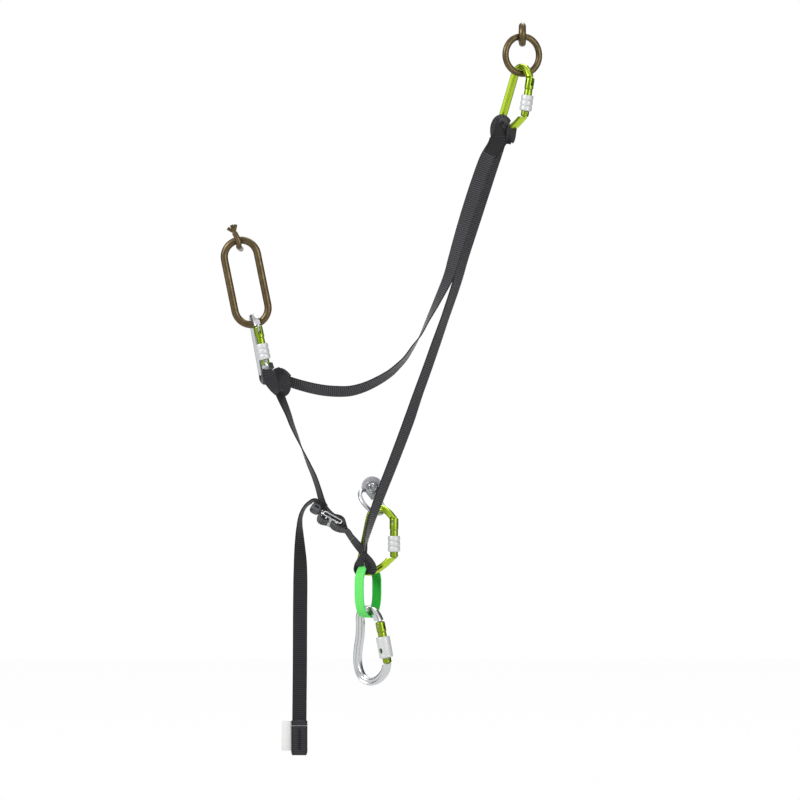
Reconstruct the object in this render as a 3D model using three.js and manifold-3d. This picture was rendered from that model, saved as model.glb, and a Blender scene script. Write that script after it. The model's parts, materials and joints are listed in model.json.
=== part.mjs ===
// Adjustable belay station sling, rigged between three wall anchors.
// Units are millimetres, +Z is up, the wall is the plane Y = 0 and everything hangs in front of it.
// The origin is the axis of the hanger's bolt where it meets the wall.
import * as THREE from 'three';
import { mergeVertices } from 'three/addons/utils/BufferGeometryUtils.js';
import Module from 'manifold-3d';

const wasm = await Module();
wasm.setup();

const DEG = Math.PI / 180;

// Clearances
const seatGap = 0.3;
const crossGap = 0.35;
const runGap = 0.35;
const overrun = 2;
const weldTolerance = 0.0005;

// Webbing
const webWidth = 20;
const webThick = 1.9;
const tabWidth = 16;

// Upper anchor: an eye bolt with a ring
const eyeX = 210;
const eyeStandoff = 42;
const eyeZ = 633;
const eyeRadius = 12;
const eyeWire = 5;
const eyeShankDepth = 60;
const upperRingRadius = 26.3;
const upperRingWire = 4.5;
const upperRingTurn = 26;

// Left anchor: a splayed peg with an oblong link
const pegX = -186;
const pegZ = 336;
const pegRadius = 4;
const pegDepth = 55;
const pegRise = 20;
const pegLean = 6;
const prongLength = 14;
const prongWide = 4.4;
const prongThin = 2.6;
const linkStandoff = 42;
const linkLength = 130;
const linkWidth = 57;
const linkWire = 5.15;
const linkTilt = -11.5;

// Centre anchor: a folded hanger with a ring and a bolt
const sheetThick = 3;
const sheetSpace = 16;
const discRadius = 15;
const foldReach = 11.5;
const foldThick = 2.6;
const foldTurn = 39;
const foldLow = -8.5;
const foldHigh = 14;
const hangerBoltRadius = 4;
const hangerBoltDepth = 50;
const boltHeadRadius = 6;
const boltHeadHeight = 5.5;
const boltSocketRadius = 3;
const boltSocketDepth = 3;
const washerRadius = 9;
const washerThick = 1.6;
const hangerRingRadius = 21;
const hangerRingWire = 3;
const hangerRingX = -0.6;
const hangerRingY = -28;
const hangerRingZ = -20.5;
const hangerRingRoll = 45;
const hangerRingSlant = 62.6;

// D-shaped carabiners: upper, left and centre
const dBody = {
  width: 60,
  height: 100,
  rodHalf: 4.7,
  rodDeep: 5.5,
  groove: 1.2,
  gateLength: 55,
  gateRadius: 5.6,
  gateTopRadius: 6.2,
  collarFromTop: 16.6,
  sleeveLength: 22.1,
  sleeveTopFromTop: 25,
  sleeveRadius: 8.6,
  sleeveRings: 3,
  pathShares: [
    [0.0, 0.26], [0.05, 0.293], [0.11, 0.335], [0.2, 0.38], [0.29, 0.41], [0.38, 0.415], [0.47, 0.4],
    [0.545, 0.365], [0.6, 0.29], [0.655, 0.15], [0.71, 0.0], [0.765, -0.15], [0.825, -0.32],
    [0.83, -0.39], [0.785, -0.45], [0.7, -0.482], [0.59, -0.488], [0.48, -0.468], [0.35, -0.425],
    [0.22, -0.37], [0.11, -0.31], [0.0, -0.25],
  ],
  seatU: 22,
  seatV: 41.5,
};

// Pear-shaped belay carabiner
const pearBody = {
  width: 70,
  height: 115,
  rodHalf: 5.6,
  rodDeep: 6.2,
  groove: 1.2,
  gateLength: 59,
  gateRadius: 6.1,
  gateTopRadius: 6.7,
  collarFromTop: 14.9,
  sleeveLength: 29.9,
  sleeveTopFromTop: 21.2,
  sleeveRadius: 9.8,
  sleeveRings: 1,
  pathShares: [
    [0.0, 0.24], [0.02, 0.285], [0.05, 0.335], [0.115, 0.39], [0.215, 0.425], [0.325, 0.43],
    [0.42, 0.405], [0.48, 0.34], [0.515, 0.245], [0.585, 0.105], [0.685, -0.035], [0.755, -0.17],
    [0.765, -0.27], [0.725, -0.36], [0.64, -0.418], [0.53, -0.446], [0.42, -0.448], [0.3, -0.43],
    [0.18, -0.39], [0.08, -0.335], [0.0, -0.24],
  ],
  seatU: 17,
  seatV: 49.2,
};

// Parts of every gate
const hingeFromTop = 5.5;
const hingePinRadius = 1.3;
const tongueThick = 3.6;
const tongueHalf = 3.3;
const topSlotDepth = 11;
const noseHeadThick = 5.8;
const noseHeadHeight = 3.2;
const noseReach = 7;
const noseBack = 2;
const noseFront = 3.2;
const nosePlay = 0.6;
const boreRadius = 2.7;
const boreFloorFromTop = 34;
const springCoil = 1.9;
const springWire = 0.35;
const springTurns = 5;
const plungerRadius = 2.3;
const plungerLength = 3.4;
const domeChamfer = 2;
const swingRise = 1.5;
const noseDip = 0.9;
const sleeveLip = 0.8;
const sleeveGroove = 0.7;
const twistSpace = 1.7;
const twistSpaceLength = 9;
const twistWire = 0.45;
const twistTurns = 3;
const windowWide = 5.4;
const windowTall = 8.2;
const windowFromTop = 19;

// Directions of the four carabiners, degrees
const upperLean = 8.7;
const upperYaw = 53;
const leftLean = -12.3;
const leftYaw = 80;
const centreYaw = 20;
const belayLean = -10.5;
const belayYaw = 39;

// Tape ring and the sewn eye that it passes through
const stationOuterWidth = 52;
const stationOuterHeight = 76;
const tapeThick = 3.5;
const tapeWidth = 14;
const tapeEdge = 0.8;
const stationYaw = 60;
const stationSeatU = 36;
const stationSeatV = 48.8;
const stationOffset = 5;
const barRide = 2.5;
const tapeRide = 2.4;
const eyeBandOffset = -10.7;
const eyeBandWidth = 15;
const eyeBandThick = 2.2;
const eyeBandDrop = 7.2;
const eyeBandHalf = 10.8;
const eyeBandTilt = 30;
const waistRise = 25;
const waistTop = 34;
const waistHalf = 4.6;
const waistDeep = 15;
const waistX = -11.2;

// Buckle
const buckleX = -57.9;
const buckleY = -42;
const buckleZ = -46.7;
const railLength = 29;
const railHeight = 5.6;
const railThick = 2;
const railOffset = 12.5;
const slotLength = 21;
const slotHeight = 2.2;
const barRadius = 2;
const endBarOffset = 12.2;
const crossBarOffset = 2.6;
const crossBarDrop = 1.6;
const lockBarOffset = -5;
const lockBarRadius = 2;
const lockPinRadius = 0.75;
const tabLoopReach = 5;
const tabLoopRise = 5.2;
const pullTabLength = 14;
const pullTabHeight = 9.5;
const pullTabStart = -20.4;
const pullTabSlot = 1.2;

// Tail end
const hemHeight = 48.5;
const hemWidth = 23;
const hemThick = 5.2;
const hemCorner = 3;
const hemBottomZ = -374.2;
const hemX = -101.7;
const hemY = -45;
const labelWidth = 13;
const labelHeight = 41.5;
const labelThick = 0.8;
const labelTopDrop = 0.5;

const metal = { roughness: 0.35, metalness: 0.9 };
const cloth = { roughness: 0.9, metalness: 0 };
const paint = {
  lime: new THREE.MeshStandardMaterial({ color: 0xa9cf1c, ...metal }),
  silver: new THREE.MeshStandardMaterial({ color: 0xe2e4e6, ...metal }),
  bronze: new THREE.MeshStandardMaterial({ color: 0x5a4a35, roughness: 0.6, metalness: 0.6 }),
  zinc: new THREE.MeshStandardMaterial({ color: 0x8c8e91, ...metal }),
  steel: new THREE.MeshStandardMaterial({ color: 0xd5d7da, ...metal }),
  spring: new THREE.MeshStandardMaterial({ color: 0x9a9da1, ...metal }),
  webbing: new THREE.MeshStandardMaterial({ color: 0x343437, ...cloth }),
  tape: new THREE.MeshStandardMaterial({ color: 0x36d24a, ...cloth }),
  label: new THREE.MeshStandardMaterial({ color: 0xf2f2f0, ...cloth }),
  grip: new THREE.MeshStandardMaterial({ color: 0x6c6d6f, ...cloth }),
};

const station = new THREE.Group();

// A named mesh in a carrier group
function put(carrier, name, geometry, material) {
  const mesh = new THREE.Mesh(geometry, material);
  mesh.name = name;
  carrier.add(mesh);
  return mesh;
}

// A geometry's triangles as a solid
function solid(geometry) {
  const bare = geometry.clone();
  for (const key of Object.keys(bare.attributes)) {
    if (key !== 'position') {
      bare.deleteAttribute(key);
    }
  }
  const welded = mergeVertices(bare, weldTolerance);
  const triVerts = new Uint32Array(welded.index.array);
  const vertProperties = new Float32Array(welded.attributes.position.array);
  return new wasm.Manifold(new wasm.Mesh({ numProp: 3, vertProperties, triVerts }));
}

// A solid back to a geometry
function shape(body) {
  const mesh = body.getMesh();
  const geometry = new THREE.BufferGeometry();
  geometry.setAttribute('position', new THREE.BufferAttribute(new Float32Array(mesh.vertProperties), 3));
  geometry.setIndex(new THREE.BufferAttribute(new Uint32Array(mesh.triVerts), 1));
  geometry.computeVertexNormals();
  return geometry;
}

// Pieces joined, then the tools taken away
function build(pieces, tools = []) {
  let body = solid(pieces[0]);
  for (const piece of pieces.slice(1)) {
    body = body.add(solid(piece));
  }
  for (const tool of tools) {
    body = body.subtract(solid(tool));
  }
  return shape(body);
}

// The signed volume of an indexed closed geometry
function volume(geometry) {
  const p = geometry.attributes.position;
  const index = geometry.index;
  const [a, b, c] = [new THREE.Vector3(), new THREE.Vector3(), new THREE.Vector3()];
  let sum = 0;
  for (let i = 0; i < index.count; i += 3) {
    a.fromBufferAttribute(p, index.getX(i));
    b.fromBufferAttribute(p, index.getX(i + 1));
    c.fromBufferAttribute(p, index.getX(i + 2));
    sum += a.dot(b.cross(c));
  }
  return sum;
}

// A skin over rings of points, closed on itself or capped at both ends
function loft(rings, closed = false, capFaces = null) {
  const sides = rings[0].length;
  const points = rings.flat();
  const faces = [];
  const spans = closed ? rings.length : rings.length - 1;
  for (let i = 0; i < spans; i += 1) {
    const here = i * sides;
    const next = ((i + 1) % rings.length) * sides;
    for (let j = 0; j < sides; j += 1) {
      const k = (j + 1) % sides;
      faces.push([here + j, here + k, next + k], [here + j, next + k, next + j]);
    }
  }
  if (!closed) {
    const fan = capFaces ?? Array.from({ length: sides - 2 }, (_, j) => [0, j + 1, j + 2]);
    const last = (rings.length - 1) * sides;
    for (const [a, b, c] of fan) {
      faces.push([a, c, b], [last + a, last + b, last + c]);
    }
  }
  const geometry = new THREE.BufferGeometry().setFromPoints(points);
  geometry.setIndex(faces.flat());
  if (volume(geometry) < 0) {
    geometry.setIndex(faces.map(([a, b, c]) => [a, c, b]).flat());
  }
  geometry.computeVertexNormals();
  return geometry;
}

// A cylinder along Y between two places
function pinAlongY(radius, from, to, sides = 20) {
  const pin = new THREE.CylinderGeometry(radius, radius, Math.abs(to - from), sides);
  return pin.translate(0, (from + to) / 2, 0);
}

// A box from its middle and sizes
function block(wide, deep, tall, x, y, z) {
  return new THREE.BoxGeometry(wide, deep, tall).translate(x, y, z);
}

// A revolved profile of [radius, height] rows about Z
function turned(rows, sides = 20) {
  const profile = rows.map(([r, z]) => new THREE.Vector2(r, z));
  return new THREE.LatheGeometry(profile, sides).rotateX(Math.PI / 2);
}

// A round wire along a closed flat loop in the XZ plane
function wireLoop(points, radius, sides = 10) {
  const count = points.length;
  const rings = points.map((p, i) => {
    const before = points[(i + count - 1) % count];
    const after = points[(i + 1) % count];
    const along = after.clone().sub(before).normalize();
    const out = new THREE.Vector3(-along.z, 0, along.x);
    return Array.from({ length: sides }, (_, j) => {
      const turn = (j / sides) * 2 * Math.PI;
      return p.clone()
        .addScaledVector(out, radius * Math.cos(turn))
        .add(new THREE.Vector3(0, radius * Math.sin(turn), 0));
    });
  });
  return loft(rings, true);
}

// A round wire along an open path
function wirePath(points, radius, sides = 8) {
  const rings = points.map((p, i) => {
    const before = points[Math.max(i - 1, 0)];
    const after = points[Math.min(i + 1, points.length - 1)];
    const along = after.clone().sub(before).normalize();
    const side = new THREE.Vector3(1, 0, 0).cross(along).normalize();
    const up = along.clone().cross(side);
    return Array.from({ length: sides }, (_, j) => {
      const turn = (j / sides) * 2 * Math.PI;
      return p.clone()
        .addScaledVector(side, radius * Math.cos(turn))
        .addScaledVector(up, radius * Math.sin(turn));
    });
  });
  return loft(rings);
}

// A coil spring about Z between two heights
function coil(radius, wire, from, to, turns, steps = 7, sides = 4) {
  const count = turns * steps;
  const rings = Array.from({ length: count + 1 }, (_, i) => {
    const turn = (i / steps) * 2 * Math.PI;
    const centre = new THREE.Vector3(
      radius * Math.cos(turn),
      radius * Math.sin(turn),
      from + ((to - from) * i) / count,
    );
    const out = new THREE.Vector3(Math.cos(turn), Math.sin(turn), 0);
    return Array.from({ length: sides }, (_, j) => {
      const around = (j / sides) * 2 * Math.PI;
      return centre.clone()
        .addScaledVector(out, wire * Math.cos(around))
        .add(new THREE.Vector3(0, 0, wire * Math.sin(around)));
    });
  });
  return loft(rings);
}

// Flat strap along places with a width direction at each
function strapRings(places, widths, wide, thick) {
  return places.map((p, i) => {
    const before = places[Math.max(i - 1, 0)];
    const after = places[Math.min(i + 1, places.length - 1)];
    const along = after.clone().sub(before).normalize();
    const across = widths[i].clone().addScaledVector(along, -widths[i].dot(along)).normalize();
    const face = along.clone().cross(across);
    return [[-1, -1], [1, -1], [1, 1], [-1, 1]].map(([a, b]) => p.clone()
      .addScaledVector(across, (a * wide) / 2)
      .addScaledVector(face, (b * thick) / 2));
  });
}

// Webbing along a route of [x, y, z, turn] rows. A turn of 0 faces the viewer, 90 is edge-on.
function webbing(route, steps, wide = webWidth, thick = webThick, reach = 0) {
  const curve = new THREE.CatmullRomCurve3(route.map(([x, y, z]) => new THREE.Vector3(x, y, z)));
  const places = [];
  const widths = [];
  for (let i = 0; i <= steps; i += 1) {
    const s = (i / steps) * (route.length - 1);
    const k = Math.min(Math.floor(s), route.length - 2);
    const turn = THREE.MathUtils.lerp(route[k][3], route[k + 1][3], s - k) * DEG;
    const along = curve.getTangent(i / steps);
    const side = new THREE.Vector3(-along.z, 0, along.x).normalize();
    places.push(curve.getPoint(i / steps));
    widths.push(side.multiplyScalar(Math.cos(turn)).add(new THREE.Vector3(0, Math.sin(turn), 0)));
  }
  places[0].addScaledVector(curve.getTangent(0), -reach);
  places[steps].addScaledVector(curve.getTangent(1), reach);
  return loft(strapRings(places, widths, wide, thick));
}

// The room that a stretch of webbing needs in what it enters
function webbingRoom({ route, steps }, wide = webWidth) {
  return webbing(route, steps, wide + 2 * seatGap, webThick + 2 * seatGap, seatGap);
}

// Unit section of a carabiner rod: rounded sides and a groove along both faces
const rodShares = [
  [1, 0], [0.86, 0.7], [0.5, 1], [0.22, 1], [-0.22, 1], [-0.5, 1], [-0.86, 0.7],
  [-1, 0], [-0.86, -0.7], [-0.5, -1], [-0.22, -1], [0.22, -1], [0.5, -1], [0.86, -0.7],
];
const grooveCorners = [3, 4, 10, 11];
const rodSteps = 34;
const grooveFadeShare = 0.2;

// The rod of a carabiner frame in its own XZ plane, gate axis on Z. Growing it gives the room it needs.
function rod(body, grow = 0) {
  const half = body.gateLength / 2;
  const places = body.pathShares.map(([a, b]) => new THREE.Vector3(-a * body.width, 0, b * body.height));
  places[0].z = half - body.rodHalf / 2;
  places[places.length - 1].z = -half + body.rodHalf / 2;
  const curve = new THREE.CatmullRomCurve3(places, false, 'centripetal');
  const rings = [];
  for (let i = 0; i <= rodSteps; i += 1) {
    const s = i / rodSteps;
    const along = curve.getTangentAt(s);
    const out = new THREE.Vector3(-along.z, 0, along.x);
    const fade = Math.min(1, s / grooveFadeShare, (1 - s) / grooveFadeShare);
    const dip = grow > 0 ? 0 : body.groove * fade;
    rings.push(rodShares.map(([a, b], j) => {
      const deep = b * (body.rodDeep + grow) - (grooveCorners.includes(j) ? Math.sign(b) * dip : 0);
      return curve.getPointAt(s)
        .addScaledVector(out, a * (body.rodHalf + grow))
        .add(new THREE.Vector3(0, deep, 0));
    }));
  }
  const flat = rodShares.map(([a, b], j) => new THREE.Vector2(a, grooveCorners.includes(j) ? b * 0.9 : b));
  return loft(rings, false, THREE.ShapeUtils.triangulateShape(flat, []));
}

// The frame: rod, hinge tongue and keyed nose
function carabinerFrame(body) {
  const half = body.gateLength / 2;
  const pinZ = half - hingeFromTop;
  const tongue = block(2 * tongueHalf, tongueThick, half + overrun - pinZ, 0, 0, (half + overrun + pinZ) / 2);
  const heel = pinAlongY(tongueHalf, -tongueThick / 2, tongueThick / 2).translate(0, 0, pinZ);
  const noseWide = noseBack + noseFront;
  const noseX = (noseFront - noseBack) / 2;
  const headTop = -half + noseReach;
  const neckTall = noseReach - noseHeadHeight / 2 + overrun;
  const neck = block(noseWide, tongueThick, neckTall, noseX, 0, headTop - noseHeadHeight / 2 - neckTall / 2);
  const head = block(noseWide, noseHeadThick, noseHeadHeight, noseX, 0, headTop - noseHeadHeight / 2);
  const gateRoom = turned([
    [0, -half - noseDip],
    [body.gateTopRadius + runGap, -half - noseDip],
    [body.gateTopRadius + runGap, half + swingRise],
    [0, half + swingRise],
  ], 24);
  const swingRoom = block(
    body.width / 3, 4 * body.rodDeep, body.gateLength * 0.4,
    -body.width / 6, 0, -half - noseDip + body.gateLength * 0.2,
  );
  const rodBody = build([rod(body)], [gateRoom, swingRoom]);
  const pinHole = pinAlongY(hingePinRadius + seatGap, -body.rodDeep, body.rodDeep, 12).translate(0, 0, pinZ);
  return build([rodBody, tongue, heel, neck, head], [pinHole]);
}

// The gate tube: a fork at the top for the hinge tongue, a keyed slot at the bottom for the nose
function carabinerGate(body) {
  const half = body.gateLength / 2;
  const collar = half - body.collarFromTop;
  const tube = turned([
    [0, -half], [body.gateRadius - sleeveLip, -half], [body.gateRadius, -half + sleeveLip],
    [body.gateRadius, collar], [body.gateTopRadius, collar],
    [body.gateTopRadius, half - domeChamfer], [body.gateTopRadius - domeChamfer, half], [0, half],
  ]);
  const wide = 2 * (body.gateTopRadius + overrun);
  const slotThick = tongueThick + 2 * seatGap;
  const fork = block(wide, slotThick, topSlotDepth + overrun, 0, 0, half + (overrun - topSlotDepth) / 2);
  const reach = body.gateRadius + overrun + noseBack + seatGap;
  const keyX = reach / 2 - noseBack - seatGap;
  const headLow = -half + noseReach - noseHeadHeight - seatGap;
  const headHigh = -half + noseReach + nosePlay;
  const neckSlot = block(reach, slotThick, headLow + half + 2 * overrun, keyX, 0, (headLow - half) / 2);
  const headSlot = block(
    reach, noseHeadThick + 2 * seatGap, headHigh - headLow,
    keyX, 0, (headHigh + headLow) / 2,
  );
  const boreFloor = half - boreFloorFromTop;
  const bore = turned([
    [0, boreFloor], [boreRadius, boreFloor], [boreRadius, half], [0, half],
  ], 12);
  const pinHole = pinAlongY(hingePinRadius + seatGap, -wide, wide, 12).translate(0, 0, half - hingeFromTop);
  return build([tube], [fork, neckSlot, headSlot, bore, pinHole]);
}

// A screw sleeve with rounded rings round it
function screwSleeve(body) {
  const inner = body.gateRadius + runGap;
  const outer = body.sleeveRadius;
  const top = body.gateLength / 2 - body.sleeveTopFromTop;
  const low = top - body.sleeveLength;
  const pitch = body.sleeveLength / body.sleeveRings;
  const rows = [[inner, low]];
  for (let i = 0; i < body.sleeveRings; i += 1) {
    const start = low + i * pitch;
    rows.push([outer - sleeveGroove, start]);
    rows.push([outer, start + pitch * 0.2]);
    rows.push([outer, start + pitch * 0.8]);
    rows.push([outer - sleeveGroove, start + pitch]);
  }
  rows.push([inner, top], [inner, low]);
  return turned(dropRepeats(rows), 20);
}

// Rows without neighbours that are alike
function dropRepeats(rows) {
  return rows.filter((row, i) => i === 0 || row[0] !== rows[i - 1][0] || row[1] !== rows[i - 1][1]);
}

// The twist sleeve: a plain barrel with room for its spring and an oval window
function twistSleeve(body) {
  const inner = body.gateRadius + runGap;
  const outer = body.sleeveRadius;
  const top = body.gateLength / 2 - body.sleeveTopFromTop;
  const low = top - body.sleeveLength;
  const room = inner + twistSpace;
  const barrel = turned([
    [inner, low], [outer - sleeveLip, low], [outer, low + 2 * sleeveLip], [outer, top - 2 * sleeveLip],
    [outer - sleeveLip, top], [room, top], [room, top - twistSpaceLength], [inner, top - twistSpaceLength],
    [inner, low],
  ], 24);
  const hole = new THREE.CylinderGeometry(windowWide / 2, windowWide / 2, outer, 12)
    .scale(1, 1, windowTall / windowWide)
    .translate(0, -outer, top - windowFromTop);
  return build([barrel], [hole]);
}

// The parts of one carabiner in a group whose origin is the middle of its gate
function carabiner(prefix, body, framePaint, gatePaint, twist) {
  const group = new THREE.Group();
  const half = body.gateLength / 2;
  const pinZ = half - hingeFromTop;
  put(group, `${prefix}_frame`, carabinerFrame(body), framePaint);
  put(group, `${prefix}_gate`, carabinerGate(body), gatePaint);
  const pinHalf = Math.sqrt(body.gateTopRadius ** 2 - hingePinRadius ** 2) - seatGap;
  put(group, `${prefix}_hinge_pin`, pinAlongY(hingePinRadius, -pinHalf, pinHalf, 12).translate(0, 0, pinZ), paint.steel);
  const sleeve = twist ? twistSleeve(body) : screwSleeve(body);
  put(group, `${prefix}_sleeve`, sleeve, paint.silver);
  const heelLow = pinZ - tongueHalf;
  const plungerTop = heelLow - seatGap;
  const plunger = turned([
    [0, plungerTop - plungerLength], [plungerRadius, plungerTop - plungerLength],
    [plungerRadius, plungerTop - plungerLength / 3], [plungerRadius / 2, plungerTop], [0, plungerTop],
  ], 12);
  put(group, `${prefix}_plunger`, plunger, paint.steel);
  const floor = half - boreFloorFromTop + springWire + seatGap;
  const ceiling = plungerTop - plungerLength - springWire - seatGap;
  put(group, `${prefix}_gate_spring`, coil(springCoil, springWire, floor, ceiling, springTurns), paint.spring);
  if (twist) {
    const top = half - body.sleeveTopFromTop - twistWire - seatGap;
    const low = half - body.sleeveTopFromTop - twistSpaceLength + twistWire + seatGap;
    const radius = body.gateRadius + runGap + twistSpace / 2;
    put(group, `${prefix}_sleeve_spring`, coil(radius, twistWire, low, top, twistTurns), paint.spring);
  }
  return group;
}

// A group turned by lean and yaw so that a local seat point lies at a place
function seated(group, lean, yaw, seat, place) {
  group.rotation.set(0, lean * DEG, -yaw * DEG);
  group.position.copy(place).sub(seat.clone().applyEuler(group.rotation));
  station.add(group);
  group.updateMatrixWorld(true);
  return group;
}

const seatOf = (body) => new THREE.Vector3(-body.seatU, 0, body.seatV);

// Upper anchor
const eyePlace = new THREE.Vector3(eyeX, -eyeStandoff, eyeZ);
const eyeLoop = new THREE.TorusGeometry(eyeRadius, eyeWire, 10, 22).rotateY(Math.PI / 2).translate(...eyePlace);
const eyeShank = pinAlongY(eyeWire, -eyeStandoff + eyeRadius, eyeShankDepth).translate(eyeX, 0, eyeZ);
put(station, 'upper_eye_bolt', build([eyeLoop, eyeShank]), paint.bronze);

const ringDrop = eyeRadius - eyeWire - upperRingWire - seatGap + upperRingRadius;
const ringPlace = new THREE.Vector3(eyeX, -eyeStandoff, eyeZ - ringDrop);
const upperRing = put(
  station, 'upper_ring',
  new THREE.TorusGeometry(upperRingRadius, upperRingWire, 8, 32).rotateX(Math.PI / 2), paint.bronze,
);
upperRing.position.copy(ringPlace);
upperRing.rotation.z = upperRingTurn * DEG;

const upperPlace = ringPlace.clone();
upperPlace.z += -upperRingRadius + upperRingWire + dBody.rodHalf + crossGap;
const upper = seated(carabiner('upper', dBody, paint.lime, paint.lime, false), upperLean, upperYaw, seatOf(dBody), upperPlace);

// Left anchor
function splayedPeg() {
  const front = -linkStandoff - linkWire - pegRadius - seatGap - 1 * pegRadius / 4;
  const bendShares = [[0, 0], [0.38, 0.08], [0.71, 0.29], [0.92, 0.62], [1, 1]];
  const bend = pegRadius * 2;
  const points = [new THREE.Vector3(pegX, pegDepth, pegZ), new THREE.Vector3(pegX, 0, pegZ)];
  for (const [a, b] of bendShares) {
    points.push(new THREE.Vector3(pegX, front + bend - a * bend, pegZ + b * bend));
  }
  const tip = new THREE.Vector3(pegX - pegLean, front, pegZ + pegRise);
  points.push(tip);
  const bar = wirePath(points, pegRadius, 10);
  const prongs = [-58, -22, 8].map((turn) => {
    const ends = [0, 0.5, 1].map((s) => {
      const wide = (prongWide / 2) * (0.8 + 0.35 * s);
      const thin = (prongThin / 2) * (1.1 - 0.3 * s);
      return [[-wide, -thin], [wide, -thin], [wide, thin], [-wide, thin]]
        .map(([x, y]) => new THREE.Vector3(x, y, prongLength * s - prongThin));
    });
    return loft(ends).rotateY(turn * DEG).translate(tip.x, tip.y, tip.z);
  });
  return build([bar, ...prongs]);
}
put(station, 'left_peg', splayedPeg(), paint.bronze);

const linkBend = linkWidth / 2 - linkWire;
const linkStraight = linkLength / 2 - linkWidth / 2;
const linkPoints = [];
for (let i = 0; i < 12; i += 1) {
  const turn = (i / 11) * Math.PI;
  linkPoints.push(new THREE.Vector3(linkBend * Math.cos(turn), 0, linkStraight + linkBend * Math.sin(turn)));
}
for (let i = 0; i < 12; i += 1) {
  const turn = Math.PI + (i / 11) * Math.PI;
  linkPoints.push(new THREE.Vector3(linkBend * Math.cos(turn), 0, -linkStraight + linkBend * Math.sin(turn)));
}
const linkGroup = new THREE.Group();
put(linkGroup, 'left_link', wireLoop(linkPoints, linkWire), paint.bronze);
const linkSeat = new THREE.Vector3(0, 0, linkStraight + linkBend - linkWire - pegRadius - seatGap);
seated(linkGroup, linkTilt, 0, linkSeat, new THREE.Vector3(pegX, -linkStandoff, pegZ));

const leftRise = linkWire + dBody.rodHalf + crossGap;
const leftPlace = new THREE.Vector3(0, 0, -linkStraight - linkBend + leftRise).applyMatrix4(linkGroup.matrixWorld);
const left = seated(carabiner('left', dBody, paint.silver, paint.lime, false), leftLean, leftYaw, seatOf(dBody), leftPlace);

// Centre anchor
const hangerRingTurn = new THREE.Matrix4()
  .makeRotationY(hangerRingRoll * DEG)
  .multiply(new THREE.Matrix4().makeRotationX(-hangerRingSlant * DEG));
const hangerRingShape = (wire) => new THREE.TorusGeometry(hangerRingRadius, wire, 8, 30)
  .rotateX(Math.PI / 2)
  .applyMatrix4(hangerRingTurn)
  .translate(hangerRingX, hangerRingY, hangerRingZ);
put(station, 'hanger_ring', hangerRingShape(hangerRingWire), paint.steel);

const plateFront = sheetSpace + 2 * sheetThick;
function hangerOutline() {
  const lowTurn = (180 + foldTurn) * DEG;
  const along = new THREE.Vector2(Math.sin(foldTurn * DEG), -Math.cos(foldTurn * DEG));
  const out = new THREE.Vector2(-Math.cos(foldTurn * DEG), -Math.sin(foldTurn * DEG));
  const corner = (e) => out.clone().multiplyScalar(foldReach).addScaledVector(along, e);
  const high = corner(foldHigh);
  const outline = new THREE.Shape();
  const low = corner(foldLow);
  const startTurn = Math.atan2(low.y, low.x);
  const endTurn = Math.atan2(high.y, high.x) + lowTurn / 8;
  outline.moveTo(low.x, low.y);
  outline.absarc(0, 0, discRadius, startTurn, endTurn, true);
  outline.lineTo(high.x, high.y);
  outline.closePath();
  return outline;
}
function hangerSheet(from) {
  const sheet = new THREE.ExtrudeGeometry(hangerOutline(), { depth: sheetThick, bevelEnabled: false, curveSegments: 24 });
  return sheet.rotateX(Math.PI / 2).translate(0, -from, 0);
}
const fold = block(foldThick, plateFront, foldHigh - foldLow, -foldReach + foldThick / 2 - seatGap, -plateFront / 2, -(foldHigh + foldLow) / 2)
  .rotateY(-foldTurn * DEG);
const boltHole = pinAlongY(hangerBoltRadius + seatGap, -plateFront - overrun, overrun);
put(
  station, 'hanger_plate',
  build([hangerSheet(0), hangerSheet(sheetThick + sheetSpace), fold], [hangerRingShape(hangerRingWire + crossGap), boltHole]),
  paint.zinc,
);
const washer = build(
  [pinAlongY(washerRadius, -plateFront - seatGap - washerThick, -plateFront - seatGap, 28)],
  [boltHole, pinAlongY(hangerBoltRadius + seatGap, -plateFront - 2 * overrun, -plateFront)],
);
put(station, 'hanger_washer', washer, paint.zinc);
const headBack = plateFront + washerThick + 2 * seatGap;
const boltHead = new THREE.LatheGeometry([
  new THREE.Vector2(0, 0), new THREE.Vector2(boltHeadRadius, 0), new THREE.Vector2(boltHeadRadius, boltHeadHeight * 0.6),
  new THREE.Vector2(boltHeadRadius * 0.75, boltHeadHeight), new THREE.Vector2(0, boltHeadHeight),
], 20).rotateX(Math.PI).translate(0, -headBack, 0);
const socket = new THREE.CylinderGeometry(boltSocketRadius, boltSocketRadius, boltSocketDepth + overrun, 6)
  .translate(0, -headBack - boltHeadHeight + (boltSocketDepth - overrun) / 2, 0);
put(station, 'hanger_bolt', build([boltHead, pinAlongY(hangerBoltRadius, -headBack - overrun / 2, hangerBoltDepth)], [socket]), paint.steel);

// The centre carabiner hangs from the lowest point of the hanger's ring
const ringAxis = new THREE.Vector3(0, 1, 0).applyMatrix4(hangerRingTurn);
const ringLow = new THREE.Vector3(0, 0, -1).addScaledVector(ringAxis, ringAxis.z).normalize().multiplyScalar(hangerRingRadius);
const centrePlace = new THREE.Vector3(hangerRingX, hangerRingY, hangerRingZ).add(ringLow);
centrePlace.z += hangerRingWire + dBody.rodHalf + crossGap;
const centre = seated(carabiner('centre', dBody, paint.lime, paint.lime, false), 0, centreYaw, seatOf(dBody), centrePlace);

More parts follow.
